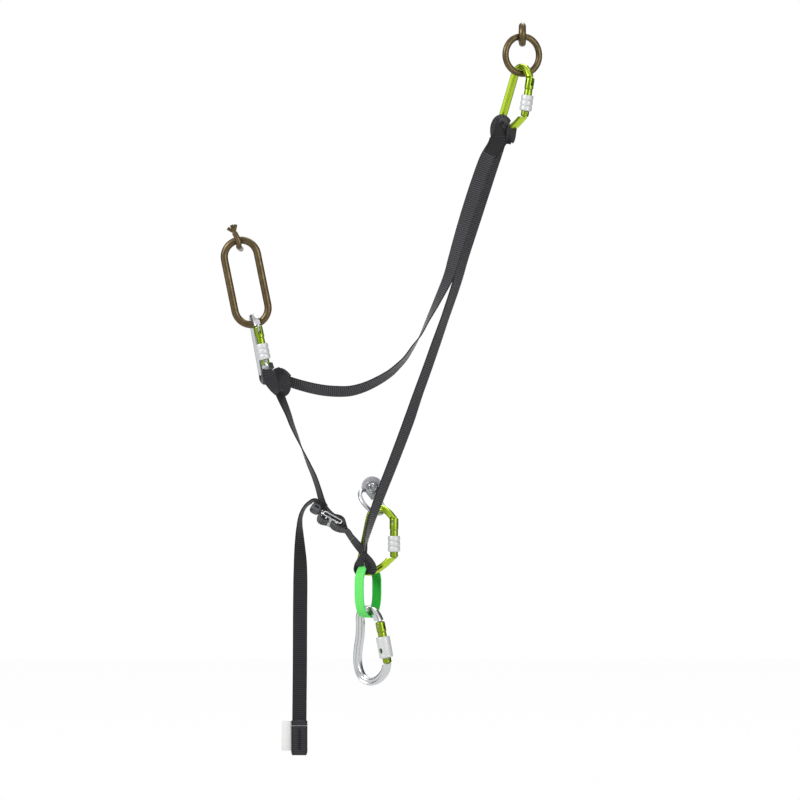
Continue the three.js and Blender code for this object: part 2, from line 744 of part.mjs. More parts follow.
// The tape ring hangs over the centre carabiner's lower bend
const stationGroup = new THREE.Group();
const topBend = stationOuterWidth / 2;
const stationStraight = stationOuterHeight / 2 - topBend;
const innerBend = topBend - tapeThick;
const barReach = innerBend - dBody.rodDeep - crossGap;
const barDrop = Math.sqrt(barReach ** 2 - stationOffset ** 2) - barRide;
function tapeRing() {
  const outline = (radius) => {
    const path = new THREE.Shape();
    path.absarc(0, stationStraight, radius, 0, Math.PI, false);
    path.absarc(0, -stationStraight, radius, Math.PI, 2 * Math.PI, false);
    path.closePath();
    return path;
  };
  const ring = outline(topBend - tapeEdge);
  ring.holes.push(outline(innerBend + tapeEdge));
  const options = {
    depth: tapeWidth - 2 * tapeEdge, bevelEnabled: true, bevelThickness: tapeEdge, bevelSize: tapeEdge,
    bevelSegments: 1, curveSegments: 11,
  };
  return new THREE.ExtrudeGeometry(ring, options)
    .translate(0, 0, -tapeWidth / 2 + tapeEdge)
    .rotateX(Math.PI / 2);
}
put(stationGroup, 'station_ring', tapeRing(), paint.tape);
const barPoint = new THREE.Vector3(-stationSeatU, 0, -stationSeatV).applyMatrix4(centre.matrixWorld);
seated(stationGroup, 0, -stationYaw, new THREE.Vector3(stationOffset, 0, stationStraight + barDrop), barPoint);

// The belay carabiner hangs in the bottom of the tape ring
const belayPlace = new THREE.Vector3(0, 0, -stationStraight - innerBend + pearBody.rodHalf + crossGap + tapeRide)
  .applyMatrix4(stationGroup.matrixWorld);
const belay = seated(carabiner('belay', pearBody, paint.silver, paint.lime, true), belayLean, belayYaw, seatOf(pearBody), belayPlace);

// Webbing legs, as routes chosen by hand
const longLegRoute = [
  [179.0, -33, 489, 14], [175.6, -31.5, 476.4, 16], [160.9, -32, 430.2, 22], [143.8, -33, 374.2, 35], [128.0, -35.5, 322.4, 44],
  [119.6, -37.5, 290.2, 52], [101.9, -40.5, 237.0, 57], [89.9, -43, 202.7, 52], [76.9, -45, 165.6, 50],
  [63.7, -47, 129.2, 48], [51.7, -49, 94.2, 42], [30.7, -51, 38.2, 45], [8.8, -53.5, -17.8, 49],
  [0.4, -53.5, -39.2, 50], [-6.0, -50.5, -62.8, 62], [-9.4, -47, -78.5, 60],
  [-10.2, -46, -88.5, 60],
];
const slackLegRoute = [
  [177.0, -40.5, 491, 0], [170.0, -44, 476.4, 0], [160.9, -44, 461.0, 0], [148.3, -44, 427.4, 0], [135.0, -44, 386.8, -10],
  [122.4, -44.5, 346.2, -27], [114.2, -44, 318.2, -35], [107.7, -45, 296.4, -41], [92.0, -46, 262.2, -61],
  [77.4, -46.5, 232.8, -78], [67.8, -46.5, 212.8, -86], [58.2, -46, 197.8, -100], [46.1, -45.5, 179.8, -107],
  [37.5, -45, 170.8, -112], [25.1, -44, 159.7, -119], [6.3, -42.5, 148.1, -126], [-12.5, -41, 139.6, -131],
  [-31.2, -39.5, 134.8, -136], [-50.0, -38, 134.3, -139], [-68.7, -37, 135.9, -139], [-87.5, -36, 139.6, -138],
  [-105.8, -35, 144.6, -136], [-120.5, -34, 149.5, -134],
];
const adjusterLegRoute = [
  [-132.5, -33, 142, 50], [-127.4, -33, 126.6, 57], [-117.9, -33, 104.0, 68], [-112.0, -33, 87.2, 74],
  [-105.8, -33, 72.4, 80], [-98.0, -33, 53.9, 92], [-89.0, -33, 33.0, 104], [-81.3, -33.2, 15.8, 109],
  [-75.2, -34, -1.8, 111], [-71.0, -35, -16.8, 115], [-68.9, -35.8, -23.6, 118],
  [-65.9, -36.5, -28.6, 120],
];
const tailRoute = [
  [-72.05, -37.9, -30.8, 72], [-72.8, -37.4, -27, 72], [-75.6, -38.6, -21.6, 70], [-81.0, -41.0, -18.4, 74],
  [-88.5, -42.8, -22.0, 78], [-94.4, -43.3, -28.0, 80],
  [-98.4, -43.8, -36.0, 78], [-100.4, -44.1, -43.6, 76], [-101.3, -44.4, -54.2, 70], [-101.0, -44.8, -80.8, 46],
  [-100.2, -45, -106.0, 25], [-100.2, -45, -135.0, 6], [-100.6, -45, -180.0, 0], [-100.9, -45, -250.0, 0],
  [-101.5, -45, -324.8, 0],
];
const tabRoute = [
  [-36.7, -42.8, -60.0, 120], [-34.5, -42.9, -61.6, 120], [-29.6, -43.5, -68.8, 112], [-23.0, -44.4, -77.2, 100],
  [-16.6, -44.8, -84.6, 80], [-13.6, -44.8, -90.5, 66],
];
const longLeg = { route: longLegRoute, steps: 42 };
const slackLeg = { route: slackLegRoute, steps: 56 };
const adjusterLeg = { route: adjusterLegRoute, steps: 24 };
const tabLeg = { route: tabRoute, steps: 12 };
put(station, 'webbing_long_leg', webbing(longLeg.route, longLeg.steps), paint.webbing);
put(station, 'webbing_slack_leg', webbing(slackLeg.route, slackLeg.steps), paint.webbing);
put(station, 'webbing_adjuster_leg', webbing(adjusterLeg.route, adjusterLeg.steps), paint.webbing);
put(station, 'webbing_tail', webbing(tailRoute, 42), paint.webbing);
put(station, 'webbing_buckle_tab', webbing(tabLeg.route, tabLeg.steps, tabWidth), paint.webbing);

// The sewn eye runs under the top of the tape ring and rises to a stitched waist
function sewnEye() {
  const tilt = eyeBandTilt * DEG;
  const low = stationStraight + innerBend - eyeBandDrop;
  const across = new THREE.Vector3(Math.cos(tilt), 0, Math.sin(tilt));
  const upright = new THREE.Vector3(1, 0, 0);
  const bandShares = [
    [-0.02, 1, 1], [-0.45, 0.72, 0.9], [-0.92, 0.46, 0.6], [-1, 0.16, 0.25], [-0.86, 0.0, 0], [0, -0.02, 0],
    [0.86, 0.0, 0], [1, 0.16, 0.25], [0.92, 0.46, 0.6], [0.45, 0.72, 0.9], [0.02, 1, 1],
  ];
  const places = bandShares.map(([n, z]) => new THREE.Vector3(eyeBandOffset, -n * eyeBandHalf, low + z * waistRise));
  const widths = bandShares.map(([, , s]) => across.clone().lerp(upright, s));
  const rings = strapRings(places, widths, eyeBandWidth, eyeBandThick);
  const half = Math.floor(rings.length / 2);
  const bandA = loft(rings.slice(0, half + 1));
  const bandB = loft(rings.slice(half));
  const waist = new THREE.BoxGeometry(waistDeep, 2 * waistHalf, waistTop - waistRise)
    .translate(eyeBandOffset, 0, low + (waistTop + waistRise) / 2);
  const throat = new THREE.BoxGeometry(waistDeep, waistHalf, waistRise / 3)
    .translate(eyeBandOffset, 0, low + waistRise);
  const toEye = stationGroup.matrixWorld.clone().invert();
  const rooms = [webbingRoom(longLeg), webbingRoom(tabLeg, tabWidth)].map((room) => room.applyMatrix4(toEye));
  return build([bandA, bandB, waist, throat], rooms);
}
put(stationGroup, 'station_eye', sewnEye(), paint.webbing);

// A knot tied round a carabiner's lower bend: straps round a core, with the rod's way left open
function knot(routes, coreAt, coreSizes, carrier, legs) {
  const straps = routes.map((route) => webbing(route, 3 * (route.length - 1), webWidth * 0.8, 2 * webThick));
  const core = new THREE.SphereGeometry(1, 14, 10).scale(...coreSizes).translate(...coreAt);
  const way = rod(dBody, crossGap).applyMatrix4(carrier.matrixWorld);
  return build([core, ...straps], [way, ...legs.map((leg) => webbingRoom(leg))]);
}
const upperKnotRoutes = [
  [[173.5, -44.5, 496, 0], [172.8, -45, 504, 10], [180.0, -45, 518, 10], [188.5, -43, 517, 10], [193.0, -40, 504, 10]],
  [[171.0, -43, 506, 60], [182.0, -47, 497, 30], [194.0, -42, 488, 40]],
];
const leftKnotRoutes = [
  [[-146.0, -42, 158, 20], [-137.0, -46, 164, 10], [-126.0, -45, 158, 10], [-116.0, -40, 147, 30]],
  [[-143.0, -40, 148, 60], [-131.0, -46, 143, 20], [-122.0, -42, 134, 30]],
];
const upperKnotSizes = [15, 13.5, 17];
const upperKnotPlace = [184, -33.5, 502];
const leftKnotSizes = [16, 13.5, 14];
const leftKnotPlace = [-133.5, -32, 151];
const upperLegs = [longLeg, slackLeg];
const leftLegs = [slackLeg, adjusterLeg];
put(station, 'upper_knot', knot(upperKnotRoutes, upperKnotPlace, upperKnotSizes, upper, upperLegs), paint.webbing);
put(station, 'left_knot', knot(leftKnotRoutes, leftKnotPlace, leftKnotSizes, left, leftLegs), paint.webbing);

// Buckle: two slotted rails, end bars, a cross bar and a sliding locking bar
const buckle = new THREE.Group();
const uAxis = new THREE.Vector3(0.875, 0, -0.485).normalize();
const vAxis = new THREE.Vector3(-0.24, 0.866, -0.44).addScaledVector(uAxis, 0).normalize();
const wAxis = uAxis.clone().cross(vAxis).normalize();
vAxis.copy(wAxis.clone().cross(uAxis));
buckle.setRotationFromMatrix(new THREE.Matrix4().makeBasis(uAxis, vAxis, wAxis));
buckle.position.set(buckleX, buckleY, buckleZ);
station.add(buckle);

function capsule(long, high) {
  const outline = new THREE.Shape();
  const run = (long - high) / 2;
  outline.absarc(run, 0, high / 2, -Math.PI / 2, Math.PI / 2, false);
  outline.absarc(-run, 0, high / 2, Math.PI / 2, 1.5 * Math.PI, false);
  outline.closePath();
  return outline;
}
function rail(side) {
  const outline = capsule(railLength, railHeight);
  outline.holes.push(capsule(slotLength, slotHeight));
  return new THREE.ExtrudeGeometry(outline, { depth: railThick, bevelEnabled: false, curveSegments: 8 })
    .rotateX(Math.PI / 2)
    .translate(0, side * railOffset + railThick / 2, 0);
}
const barHalf = railOffset;
const buckleFrame = build([
  rail(-1), rail(1),
  pinAlongY(barRadius, -barHalf, barHalf, 12).translate(-endBarOffset, 0, 0),
  pinAlongY(barRadius, -barHalf, barHalf, 12).translate(endBarOffset, 0, 0),
  pinAlongY(barRadius, -barHalf, barHalf, 12).translate(crossBarOffset, 0, -crossBarDrop),
]);
put(buckle, 'buckle_frame', buckleFrame, paint.steel);
const lockInner = railOffset - railThick / 2 - runGap;
const lockBar = build([
  pinAlongY(lockBarRadius, -lockInner, lockInner, 12),
  pinAlongY(lockPinRadius, -railOffset - railThick / 2, railOffset + railThick / 2, 8),
]);
const lockMesh = put(buckle, 'buckle_locking_bar', lockBar, paint.steel);
lockMesh.position.x = lockBarOffset;

// A strap in the buckle's own XZ plane, its width along the bars
function buckleStrap(rows, wide = webWidth, thick = webThick) {
  const places = rows.map(([x, z]) => new THREE.Vector3(x, 0, z));
  return loft(strapRings(places, rows.map(() => new THREE.Vector3(0, 1, 0)), wide, thick));
}
const wrapShares = [
  [-4.7, 4.06], [-2.9, 3.3], [-1.35, 2.55], [-0.5, 1.65], [-0.28, 0.6], [-0.36, -0.7], [-1.2, -1.75], [-2.7, -2.75], [-4.1, -3.5], [-5.4, -3.2],
  [-6.0, -1.9], [-5.8, -0.5], [-5.75, 0.6], [-6.1, 1.9],
];
const wrapUnit = 3;
put(buckle, 'webbing_wrap', buckleStrap(wrapShares.map(([a, b]) => [a * wrapUnit, b * wrapUnit])), paint.webbing);
const loopShares = [
  [3.6, -0.25], [2.2, -0.6], [1.0, -0.95], [0.1, -1.08], [-0.75, -0.8], [-1.08, 0], [-0.75, 0.8],
  [0.1, 1.08], [1.0, 0.95], [2.2, 0.45], [3.6, 0.5],
];
const loopUnit = barRadius + seatGap + webThick / 2;
const tabLoop = loopShares.map(([a, b]) => [endBarOffset + a * loopUnit, b * loopUnit]);
put(buckle, 'webbing_tab_loop', buckleStrap(tabLoop), paint.webbing);
const pullTabWidth = 2 * railOffset + railThick;
const grip = new THREE.ExtrudeGeometry(
  capsule(pullTabLength, pullTabHeight),
  { depth: pullTabWidth, bevelEnabled: false, curveSegments: 6 },
).rotateX(Math.PI / 2).translate(pullTabStart - pullTabLength / 2, pullTabWidth / 2, 0);
const earReach = -railLength / 2 - seatGap - pullTabStart + pullTabHeight / 2;
const ears = [-1, 1].map((side) => block(
  earReach, railThick, railHeight,
  -railLength / 2 - seatGap - earReach / 2, side * railOffset, 0,
));
const pullTab = build(
  [grip, ...ears],
  [block(pullTabSlot, 2 * pullTabWidth, pullTabHeight / 2, pullTabStart - pullTabLength / 3, 0, -pullTabHeight / 2)],
);
put(buckle, 'buckle_pull_tab', pullTab, paint.grip);

// Tail end: a folded hem and a bare label
function hem() {
  const half = hemWidth / 2;
  const outline = new THREE.Shape();
  outline.moveTo(-half, hemHeight);
  outline.lineTo(-half, hemCorner);
  outline.quadraticCurveTo(-half, 0, -half + hemCorner, 0);
  outline.lineTo(half - hemCorner, 0);
  outline.quadraticCurveTo(half, 0, half, hemCorner);
  outline.lineTo(half, hemHeight);
  outline.closePath();
  return new THREE.ExtrudeGeometry(outline, { depth: hemThick, bevelEnabled: false, curveSegments: 4 })
    .rotateX(Math.PI / 2)
    .translate(0, hemThick / 2, 0);
}
const hemMesh = put(station, 'tail_hem', hem(), paint.webbing);
hemMesh.position.set(hemX, hemY, hemBottomZ);
const label = put(station, 'tail_label', block(labelWidth, labelThick, labelHeight, 0, 0, 0), paint.label);
label.position.set(
  hemX - hemWidth / 2 - seatGap - labelWidth / 2,
  hemY,
  hemBottomZ + hemHeight - labelTopDrop - labelHeight / 2,
);

export default station;
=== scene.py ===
"""Dresses an adjustable belay station sling, rigged between three wall anchors.

Sizes are in millimetres until a mesh is made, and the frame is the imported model's own: the wall is the
plane Y = 0, +Z is up, and the origin is the axis of the centre hanger's bolt.
"""
from __future__ import annotations

import json
import logging
import math
from dataclasses import dataclass, replace
from enum import Enum
from functools import cache, partialmethod
from typing import Callable, Sequence

import bmesh
import bpy
from mathutils import Matrix, Vector

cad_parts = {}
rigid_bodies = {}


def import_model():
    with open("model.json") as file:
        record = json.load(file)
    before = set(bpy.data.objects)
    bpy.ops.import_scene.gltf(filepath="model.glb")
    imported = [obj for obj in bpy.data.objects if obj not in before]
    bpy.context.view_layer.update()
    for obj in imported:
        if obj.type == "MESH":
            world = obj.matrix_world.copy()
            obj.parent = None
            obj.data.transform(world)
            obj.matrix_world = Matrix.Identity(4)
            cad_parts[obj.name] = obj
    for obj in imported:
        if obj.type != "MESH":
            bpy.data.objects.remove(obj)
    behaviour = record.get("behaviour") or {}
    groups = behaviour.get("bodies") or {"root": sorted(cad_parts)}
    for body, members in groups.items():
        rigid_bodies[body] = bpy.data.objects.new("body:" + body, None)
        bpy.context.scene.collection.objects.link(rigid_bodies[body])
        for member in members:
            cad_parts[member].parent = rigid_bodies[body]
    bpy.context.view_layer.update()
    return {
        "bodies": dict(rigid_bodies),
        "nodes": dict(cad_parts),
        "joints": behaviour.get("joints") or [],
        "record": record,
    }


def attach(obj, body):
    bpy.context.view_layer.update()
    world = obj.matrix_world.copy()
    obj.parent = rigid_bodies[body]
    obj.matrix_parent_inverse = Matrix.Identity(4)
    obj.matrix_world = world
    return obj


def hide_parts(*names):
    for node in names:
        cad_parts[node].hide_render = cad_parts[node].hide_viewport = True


LOG = logging.getLogger("belay_station")
MM = 0.001
TINY = 1e-9

Row = tuple[float, float, float, float]
Pair = tuple[float, float]
Triple = tuple[float, float, float]
Ring = list[Vector]
Curve = Callable[[float], Vector]


class Body(Enum):
    """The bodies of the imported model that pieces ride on."""

    STATION = "station"
    UPPER_RING = "upper_ring_body"
    UPPER_GATE = "upper_gate_body"
    UPPER_SLEEVE = "upper_sleeve_body"
    LEFT_GATE = "left_gate_body"
    LEFT_SLEEVE = "left_sleeve_body"
    HANGER_RING = "hanger_ring_body"
    CENTRE_GATE = "centre_gate_body"
    CENTRE_SLEEVE = "centre_sleeve_body"
    TAPE_RING = "tape_ring_body"
    BELAY = "belay_carabiner_body"
    BELAY_GATE = "belay_gate_body"
    BELAY_SLEEVE = "belay_sleeve_body"
    LOCK_BAR = "lock_bar_body"


class Slot(Enum):
    """The record's material slots."""

    LIME = "lime"
    SILVER = "silver"
    BRONZE = "bronze"
    ZINC = "zinc"
    STEEL = "steel"
    WEBBING = "webbing"
    TAPE = "tape"
    LABEL = "label"
    GRIP = "grip"


class Lay(Enum):
    """How a stretch of webbing lies."""

    TAUT = "taut"
    HANGING = "hanging"


class FarEnd(Enum):
    """What a stretch of webbing ends in."""

    OBJECT = "object"
    FITTING = "fitting"


class Join(Enum):
    """How another mesh works on a piece."""

    CUT = "DIFFERENCE"
    WELD = "UNION"


class Lock(Enum):
    """How a carabiner's sleeve locks its gate."""

    SCREW = "screw"
    TWIST = "twist"


# Shader and geometry nodes


class Value:
    """A number in a node tree, on which Python's operators add Math nodes."""

    def __init__(self, nodes: Nodes, socket: bpy.types.NodeSocket) -> None:
        """Wraps a socket.

        Args:
            nodes: The tree that the socket belongs to.
            socket: The output that gives the number.
        """
        self.nodes = nodes
        self.socket = socket

    def _math(self, operation: str, other: Value | float | None = None, swapped: bool = False) -> Value:
        """One Math node on this value.

        Args:
            operation: The Math node's operation.
            other: The second operand, where the operation has one.
            swapped: Whether this value is the second operand.

        Returns:
            The node's result.
        """
        sides: list[Value | float] = [self] if other is None else [self, other]
        if swapped:
            sides.reverse()
        return self.nodes.value("ShaderNodeMath", {"operation": operation}, dict(enumerate(sides)))

    __add__ = partialmethod(_math, "ADD")
    __radd__ = partialmethod(_math, "ADD", swapped=True)
    __sub__ = partialmethod(_math, "SUBTRACT")
    __rsub__ = partialmethod(_math, "SUBTRACT", swapped=True)
    __mul__ = partialmethod(_math, "MULTIPLY")
    __rmul__ = partialmethod(_math, "MULTIPLY", swapped=True)
    __truediv__ = partialmethod(_math, "DIVIDE")
    __rtruediv__ = partialmethod(_math, "DIVIDE", swapped=True)
    sine = partialmethod(_math, "SINE")
    size = partialmethod(_math, "ABSOLUTE")
    floor = partialmethod(_math, "FLOOR")
    largest = partialmethod(_math, "MAXIMUM")

    def above(self, edge: float, soft: float) -> Value:
        """How far the value is past an edge, from 0 to 1.

        Args:
            edge: Where the step lies.
            soft: The width over which it rises.

        Returns:
            0 below the edge, 1 above it.
        """
        lift = (self - (edge - soft / 2)) / soft
        return self.nodes.value("ShaderNodeClamp", {}, {"Value": lift})


class Nodes:
    """A node tree under construction."""

    def __init__(self, tree: bpy.types.NodeTree) -> None:
        """Empties a tree.

        Args:
            tree: The tree.
        """
        self.tree = tree
        tree.nodes.clear()

    def node(self, kind: str, settings: dict | None = None, sockets: dict | None = None) -> bpy.types.Node:
        """Adds one node.

        Args:
            kind: The node's type.
            settings: What is set first, such as an operation.
            sockets: Values or links by a socket's name or number.

        Returns:
            The node.
        """
        made = self.tree.nodes.new(kind)
        for key, entry in (settings or {}).items():
            setattr(made, key, entry)
        for key, entry in (sockets or {}).items():
            source = entry.socket if isinstance(entry, Value) else entry
            if isinstance(source, bpy.types.NodeSocket):
                self.tree.links.new(source, made.inputs[key])
            else:
                made.inputs[key].default_value = source
        return made

    def value(self, kind: str, settings: dict | None = None, sockets: dict | None = None,
              output: int | str = 0) -> Value:
        """Adds one node and wraps one of its outputs.

        Args:
            kind: The node's type.
            settings: What is set first.
            sockets: Values or links by a socket's name or number.
            output: The output's name or number.

        Returns:
            The wrapped output.
        """
        return Value(self, self.node(kind, settings, sockets).outputs[output])


class Shader(Nodes):
    """A material under construction."""

    def __init__(self, name: str) -> None:
        """Starts an empty material.

        Args:
            name: The material's name.
        """
        self.material = bpy.data.materials.new(name)
        self.material.use_nodes = True
        super().__init__(self.material.node_tree)

    def blend(self, factor: Value, low: Triple | Value, high: Triple | Value) -> Value:
        """Mixes two colours.

        Args:
            factor: 0 gives the low colour and 1 the high one.
            low: The first colour.
            high: The second colour.

        Returns:
            The mixed colour.
        """
        ends = {6: low, 7: high}
        sockets = {key: end if isinstance(end, Value) else (*end, 1.0) for key, end in ends.items()}
        return self.value("ShaderNodeMix", {"data_type": "RGBA"}, {0: factor, **sockets}, 2)

    def noise(self, scale: float, detail: float = 3.0, stretch: Triple = (1, 1, 1),
              roughness: float = 0.55) -> Value:
        """Noise on the object's own coordinates.

        Args:
            scale: How many features fit in a metre.
            detail: The number of octaves.
            stretch: How the coordinates are scaled first.
            roughness: How strong the finer octaves are.

        Returns:
            The noise, about 0 to 1.
        """
        place = self.node("ShaderNodeTexCoord").outputs["Object"]
        mapping = self.node("ShaderNodeMapping", {}, {"Vector": place, "Scale": stretch})
        sockets = {"Vector": mapping.outputs[0], "Scale": scale, "Detail": detail, "Roughness": roughness}
        return self.value("ShaderNodeTexNoise", {}, sockets)

    def lengths(self) -> tuple[Value, Value]:
        """The piece's own coordinates.

        Returns:
            The places along and across, in metres.
        """
        place = self.node("ShaderNodeUVMap", {"uv_map": "UVMap"}).outputs[0]
        split = self.node("ShaderNodeSeparateXYZ", {}, {0: place})
        return Value(self, split.outputs[0]), Value(self, split.outputs[1])

    def bump(self, height: Value, distance: float, strength: float = 1.0) -> Value:
        """A Bump node.

        Args:
            height: The relief, about 0 to 1.
            distance: The relief's depth in metres.
            strength: How much of it is used.

        Returns:
            The normal.
        """
        sockets = {"Height": height, "Distance": distance, "Strength": strength}
        return self.value("ShaderNodeBump", {}, sockets)

    def glow(self, level: float = 1.0) -> bpy.types.NodeSocket:
        """A grey that shines by itself.

        Args:
            level: Its brightness.

        Returns:
            The shader's output.
        """
        sockets = {"Color": (level, level, level, 1), "Strength": 1.0}
        return self.node("ShaderNodeEmission", {}, sockets).outputs[0]

    def closed(self, surface: bpy.types.NodeSocket) -> bpy.types.Material:
        """Closes the material with a surface.

        Args:
            surface: The shader's output.

        Returns:
            The finished material.
        """
        self.node("ShaderNodeOutputMaterial", {}, {"Surface": surface})
        return self.material

    def surface(self, **sockets: object) -> bpy.types.Material:
        """Closes the material with one Principled BSDF.

        Args:
            sockets: Its inputs, with spaces written as underscores.

        Returns:
            The finished material.
        """
        named = {key.replace("_", " "): entry for key, entry in sockets.items()}
        return self.closed(self.node("ShaderNodeBsdfPrincipled", {}, named).outputs[0])


# Finishes


def linear(code: int) -> Triple:
    """A colour written as on screen, in the renderer's own units.

    Args:
        code: The colour as 0xRRGGBB.

    Returns:
        Red, green and blue.
    """
    shares = [((code >> shift) & 255) / 255 for shift in (16, 8, 0)]
    return tuple(s / 12.92 if s <= 0.04045 else ((s + 0.055) / 1.055) ** 2.4 for s in shares)


@dataclass(frozen=True)
class Finish:
    """A material that is made when it is first asked for."""

    name: str

    @cache
    def paint(self) -> bpy.types.Material:
        """The material, the same one for every piece."""
        return self.material()

    def material(self) -> bpy.types.Material:
        """Builds the material, which each kind of finish does its own way."""
        raise NotImplementedError(self.name)


@dataclass(frozen=True)
class BareMetal(Finish):
    """Polished, anodised or plated metal with fine drawing lines, scuffs and slightly worn colour."""

    colour: int
    worn: int
    roughness: float
    metallic: float = 1.0
    scuff: float = 0.12
    relief: float = 0.000003

    def material(self) -> bpy.types.Material:
        """Builds the finish.

        Returns:
            The material.
        """
        shader = Shader(self.name)
        lines = shader.noise(140, stretch=(1, 1, 4))
        patches = shader.noise(60, detail=3)
        scratches = shader.noise(420, detail=2, stretch=(1, 4, 0.6), roughness=0.6)
        wear = patches.above(edge=0.62, soft=0.2) * scratches.above(edge=0.5, soft=0.3)
        colour = shader.blend(wear * 0.25, linear(self.colour), linear(self.worn))
        rough = self.roughness + (lines - 0.5) * self.scuff + wear * 0.1
        return shader.surface(
            Base_Color=colour, Metallic=self.metallic, Roughness=rough,
            Normal=shader.bump(lines, self.relief, 0.3),
        )


@dataclass(frozen=True)
class Patina(Finish):
    """Old bronze-brown anchor metal: mottled, dull, rubbed bright on a few places."""

    dark: int
    light: int
    rubbed: int
    metallic: float = 0.8
    roughness: float = 0.4
    relief: float = 0.00003

    def material(self) -> bpy.types.Material:
        """Builds the finish.

        Returns:
            The material.
        """
        shader = Shader(self.name)
        mottle = shader.noise(110, detail=3)
        grain = shader.noise(900, detail=2)
        rub = shader.noise(60, detail=2).above(edge=0.62, soft=0.2)
        colour = shader.blend(mottle.above(edge=0.5, soft=0.6), linear(self.dark), linear(self.light))
        colour = shader.blend(rub * grain.above(edge=0.5, soft=0.4) * 0.35, colour, linear(self.rubbed))
        rough = self.roughness - rub * 0.08 + (grain - 0.5) * 0.1
        return shader.surface(
            Base_Color=colour, Metallic=self.metallic, Roughness=rough,
            Normal=shader.bump(mottle * 0.7 + grain * 0.3, self.relief, 0.5),
        )


@dataclass(frozen=True)
class Weave(Finish):
    """Woven webbing or tape, on coordinates in metres along and across the strap, with painted shade in the
    ribs' valleys and painted highlight on their crowns.
    """

    valley: int
    crown: int
    edge: int
    half_width: float = 0.010
    rib_pitch: float = 0.0029
    warp_pitch: float = 0.0019
    relief: float = 0.0006
    sheen: float = 0.8
    roughness: float = 0.82
    selvage: float = 0.0012

    def material(self) -> bpy.types.Material:
        """Builds the finish.

        Returns:
            The material.
        """
        shader = Shader(self.name)
        along, across = shader.lengths()
        row = (along / self.rib_pitch).floor()
        rib = (along * (math.pi / self.rib_pitch)).sine().size()
        warp = (across * (math.pi / self.warp_pitch) + row * (math.pi / 2)).sine().size()
        fuzz = shader.noise(2600, detail=2)
        patch = shader.noise(38, detail=3)
        selvage = across.size().above(self.half_width - self.selvage, self.selvage / 2)
        # Painted light and shade: the colour follows the rib height, with the darker valley colour in the
        # hollows and the lighter crown colour on the tops, varied at random by the patch noise.
        height = rib * 0.65 + warp * 0.25 * rib + fuzz * 0.12
        lit = (height * (0.75 + patch * 0.5)).above(edge=0.5, soft=0.8)
        colour = shader.blend(lit, linear(self.valley), linear(self.crown))
        colour = shader.blend(selvage * 0.75, colour, linear(self.edge))
        return shader.surface(
            Base_Color=colour, Roughness=self.roughness + (fuzz - 0.5) * 0.16,
            Sheen_Weight=self.sheen, Sheen_Roughness=0.35, Specular_IOR_Level=0.3,
            Normal=shader.bump(height, self.relief),
        )


@dataclass(frozen=True)
class Plain(Finish):
    """Moulded grip or thread: one colour with fine grain."""

    colour: int
    shade: int
    roughness: float
    grain: float = 900.0
    relief: float = 0.00012

    def material(self) -> bpy.types.Material:
        """Builds the finish.

        Returns:
            The material.
        """
        shader = Shader(self.name)
        fine = shader.noise(self.grain, detail=3)
        broad = shader.noise(90, detail=2)
        lit = (fine * 0.6 + broad * 0.4).above(edge=0.5, soft=0.5)
        return shader.surface(
            Base_Color=shader.blend(lit, linear(self.shade), linear(self.colour)),
            Roughness=self.roughness + (fine - 0.5) * 0.2,
            Normal=shader.bump(fine, self.relief, 0.6),
        )


LIME = BareMetal("lime_anodised", 0xAECA38, 0xBED080, 0.3, 0.94)
LIME_GATE = BareMetal("lime_gate", 0x849C2C, 0x98A85E, 0.36, 0.94)
SILVER = BareMetal("silver_anodised", 0xCBCDCF, 0xB8BABC, 0.26)
FROSTED = BareMetal("frosted_sleeve", 0xCDCECF, 0xBCBEC0, 0.52, 0.3, 0.04, 0.0000005)
BRONZE = Patina("anchor_patina", 0x4C402B, 0x6C5D40, 0x988A64)
ZINC = BareMetal("zinc_plate", 0xC0C2C6, 0xD0D2D4, 0.42, scuff=0.2, relief=0.00001)
STEEL = BareMetal("polished_steel", 0xB4B6B9, 0xA2A4A6, 0.16, scuff=0.05, relief=0.000001)
# Painted shade: a darker copy of the steel for the buckle's end bars and locking bar, which sit in shade
# among the webbing.
PAINTED_SHADE_STEEL = BareMetal("painted_shade_steel", 0x505256, 0x646668, 0.35, relief=0.000001)
RAIL = BareMetal("buckle_rail", 0xC2C4C6, 0xAEB0B2, 0.3, scuff=0.04, relief=0.000001)
SPRING = BareMetal("spring_wire", 0x9A9DA1, 0xB0B2B4, 0.3)
WEBBING = Weave("ribbed_webbing", 0x0A0A0C, 0x3A3A3E, 0x121213)
LIT_WEBBING = Weave("lit_webbing", 0x0C0C0E, 0x48484C, 0x161617, sheen=0.9)
SHADED_WEBBING = Weave("shaded_webbing", 0x08080A, 0x2B2B2E, 0x101011, relief=0.0005, sheen=0.35)
SMOOTH_WEBBING = Weave(
    "smooth_webbing", 0x18181A, 0x323235, 0x121213, 0.012, 0.0022, 0.0011, relief=0.0001, sheen=0.5)
TAPE = Weave("green_tape", 0x46D452, 0x7AEA78, 0x5AE064, 0.007, 0.0011, 0.0010, relief=0.0001, sheen=0.3)
# Painted shade: a darker copy of the tape, without sheen, for the ring's inner faces.
TAPE_PAINTED_SHADE = replace(
    TAPE, name="green_tape_painted_shade", valley=0x128C20, crown=0x22A630, edge=0x1A9A28, sheen=0.0)
LABEL = Weave(
    "blank_label", 0xE0E0DF, 0xEAEAE9, 0xE4E4E3, 0.0065, 0.0005, 0.0005, relief=0.00005, sheen=0.1)
GRIP = Plain("moulded_grip", 0x56575A, 0x3E3F41, 0.5)
DARK_THREAD = Plain("dark_thread", 0x070708, 0x040404, 0.9, 2400)
PALE_THREAD = Plain("pale_thread", 0xA8A8AA, 0x7C7C7E, 0.7, 2400)


# Curves and meshes


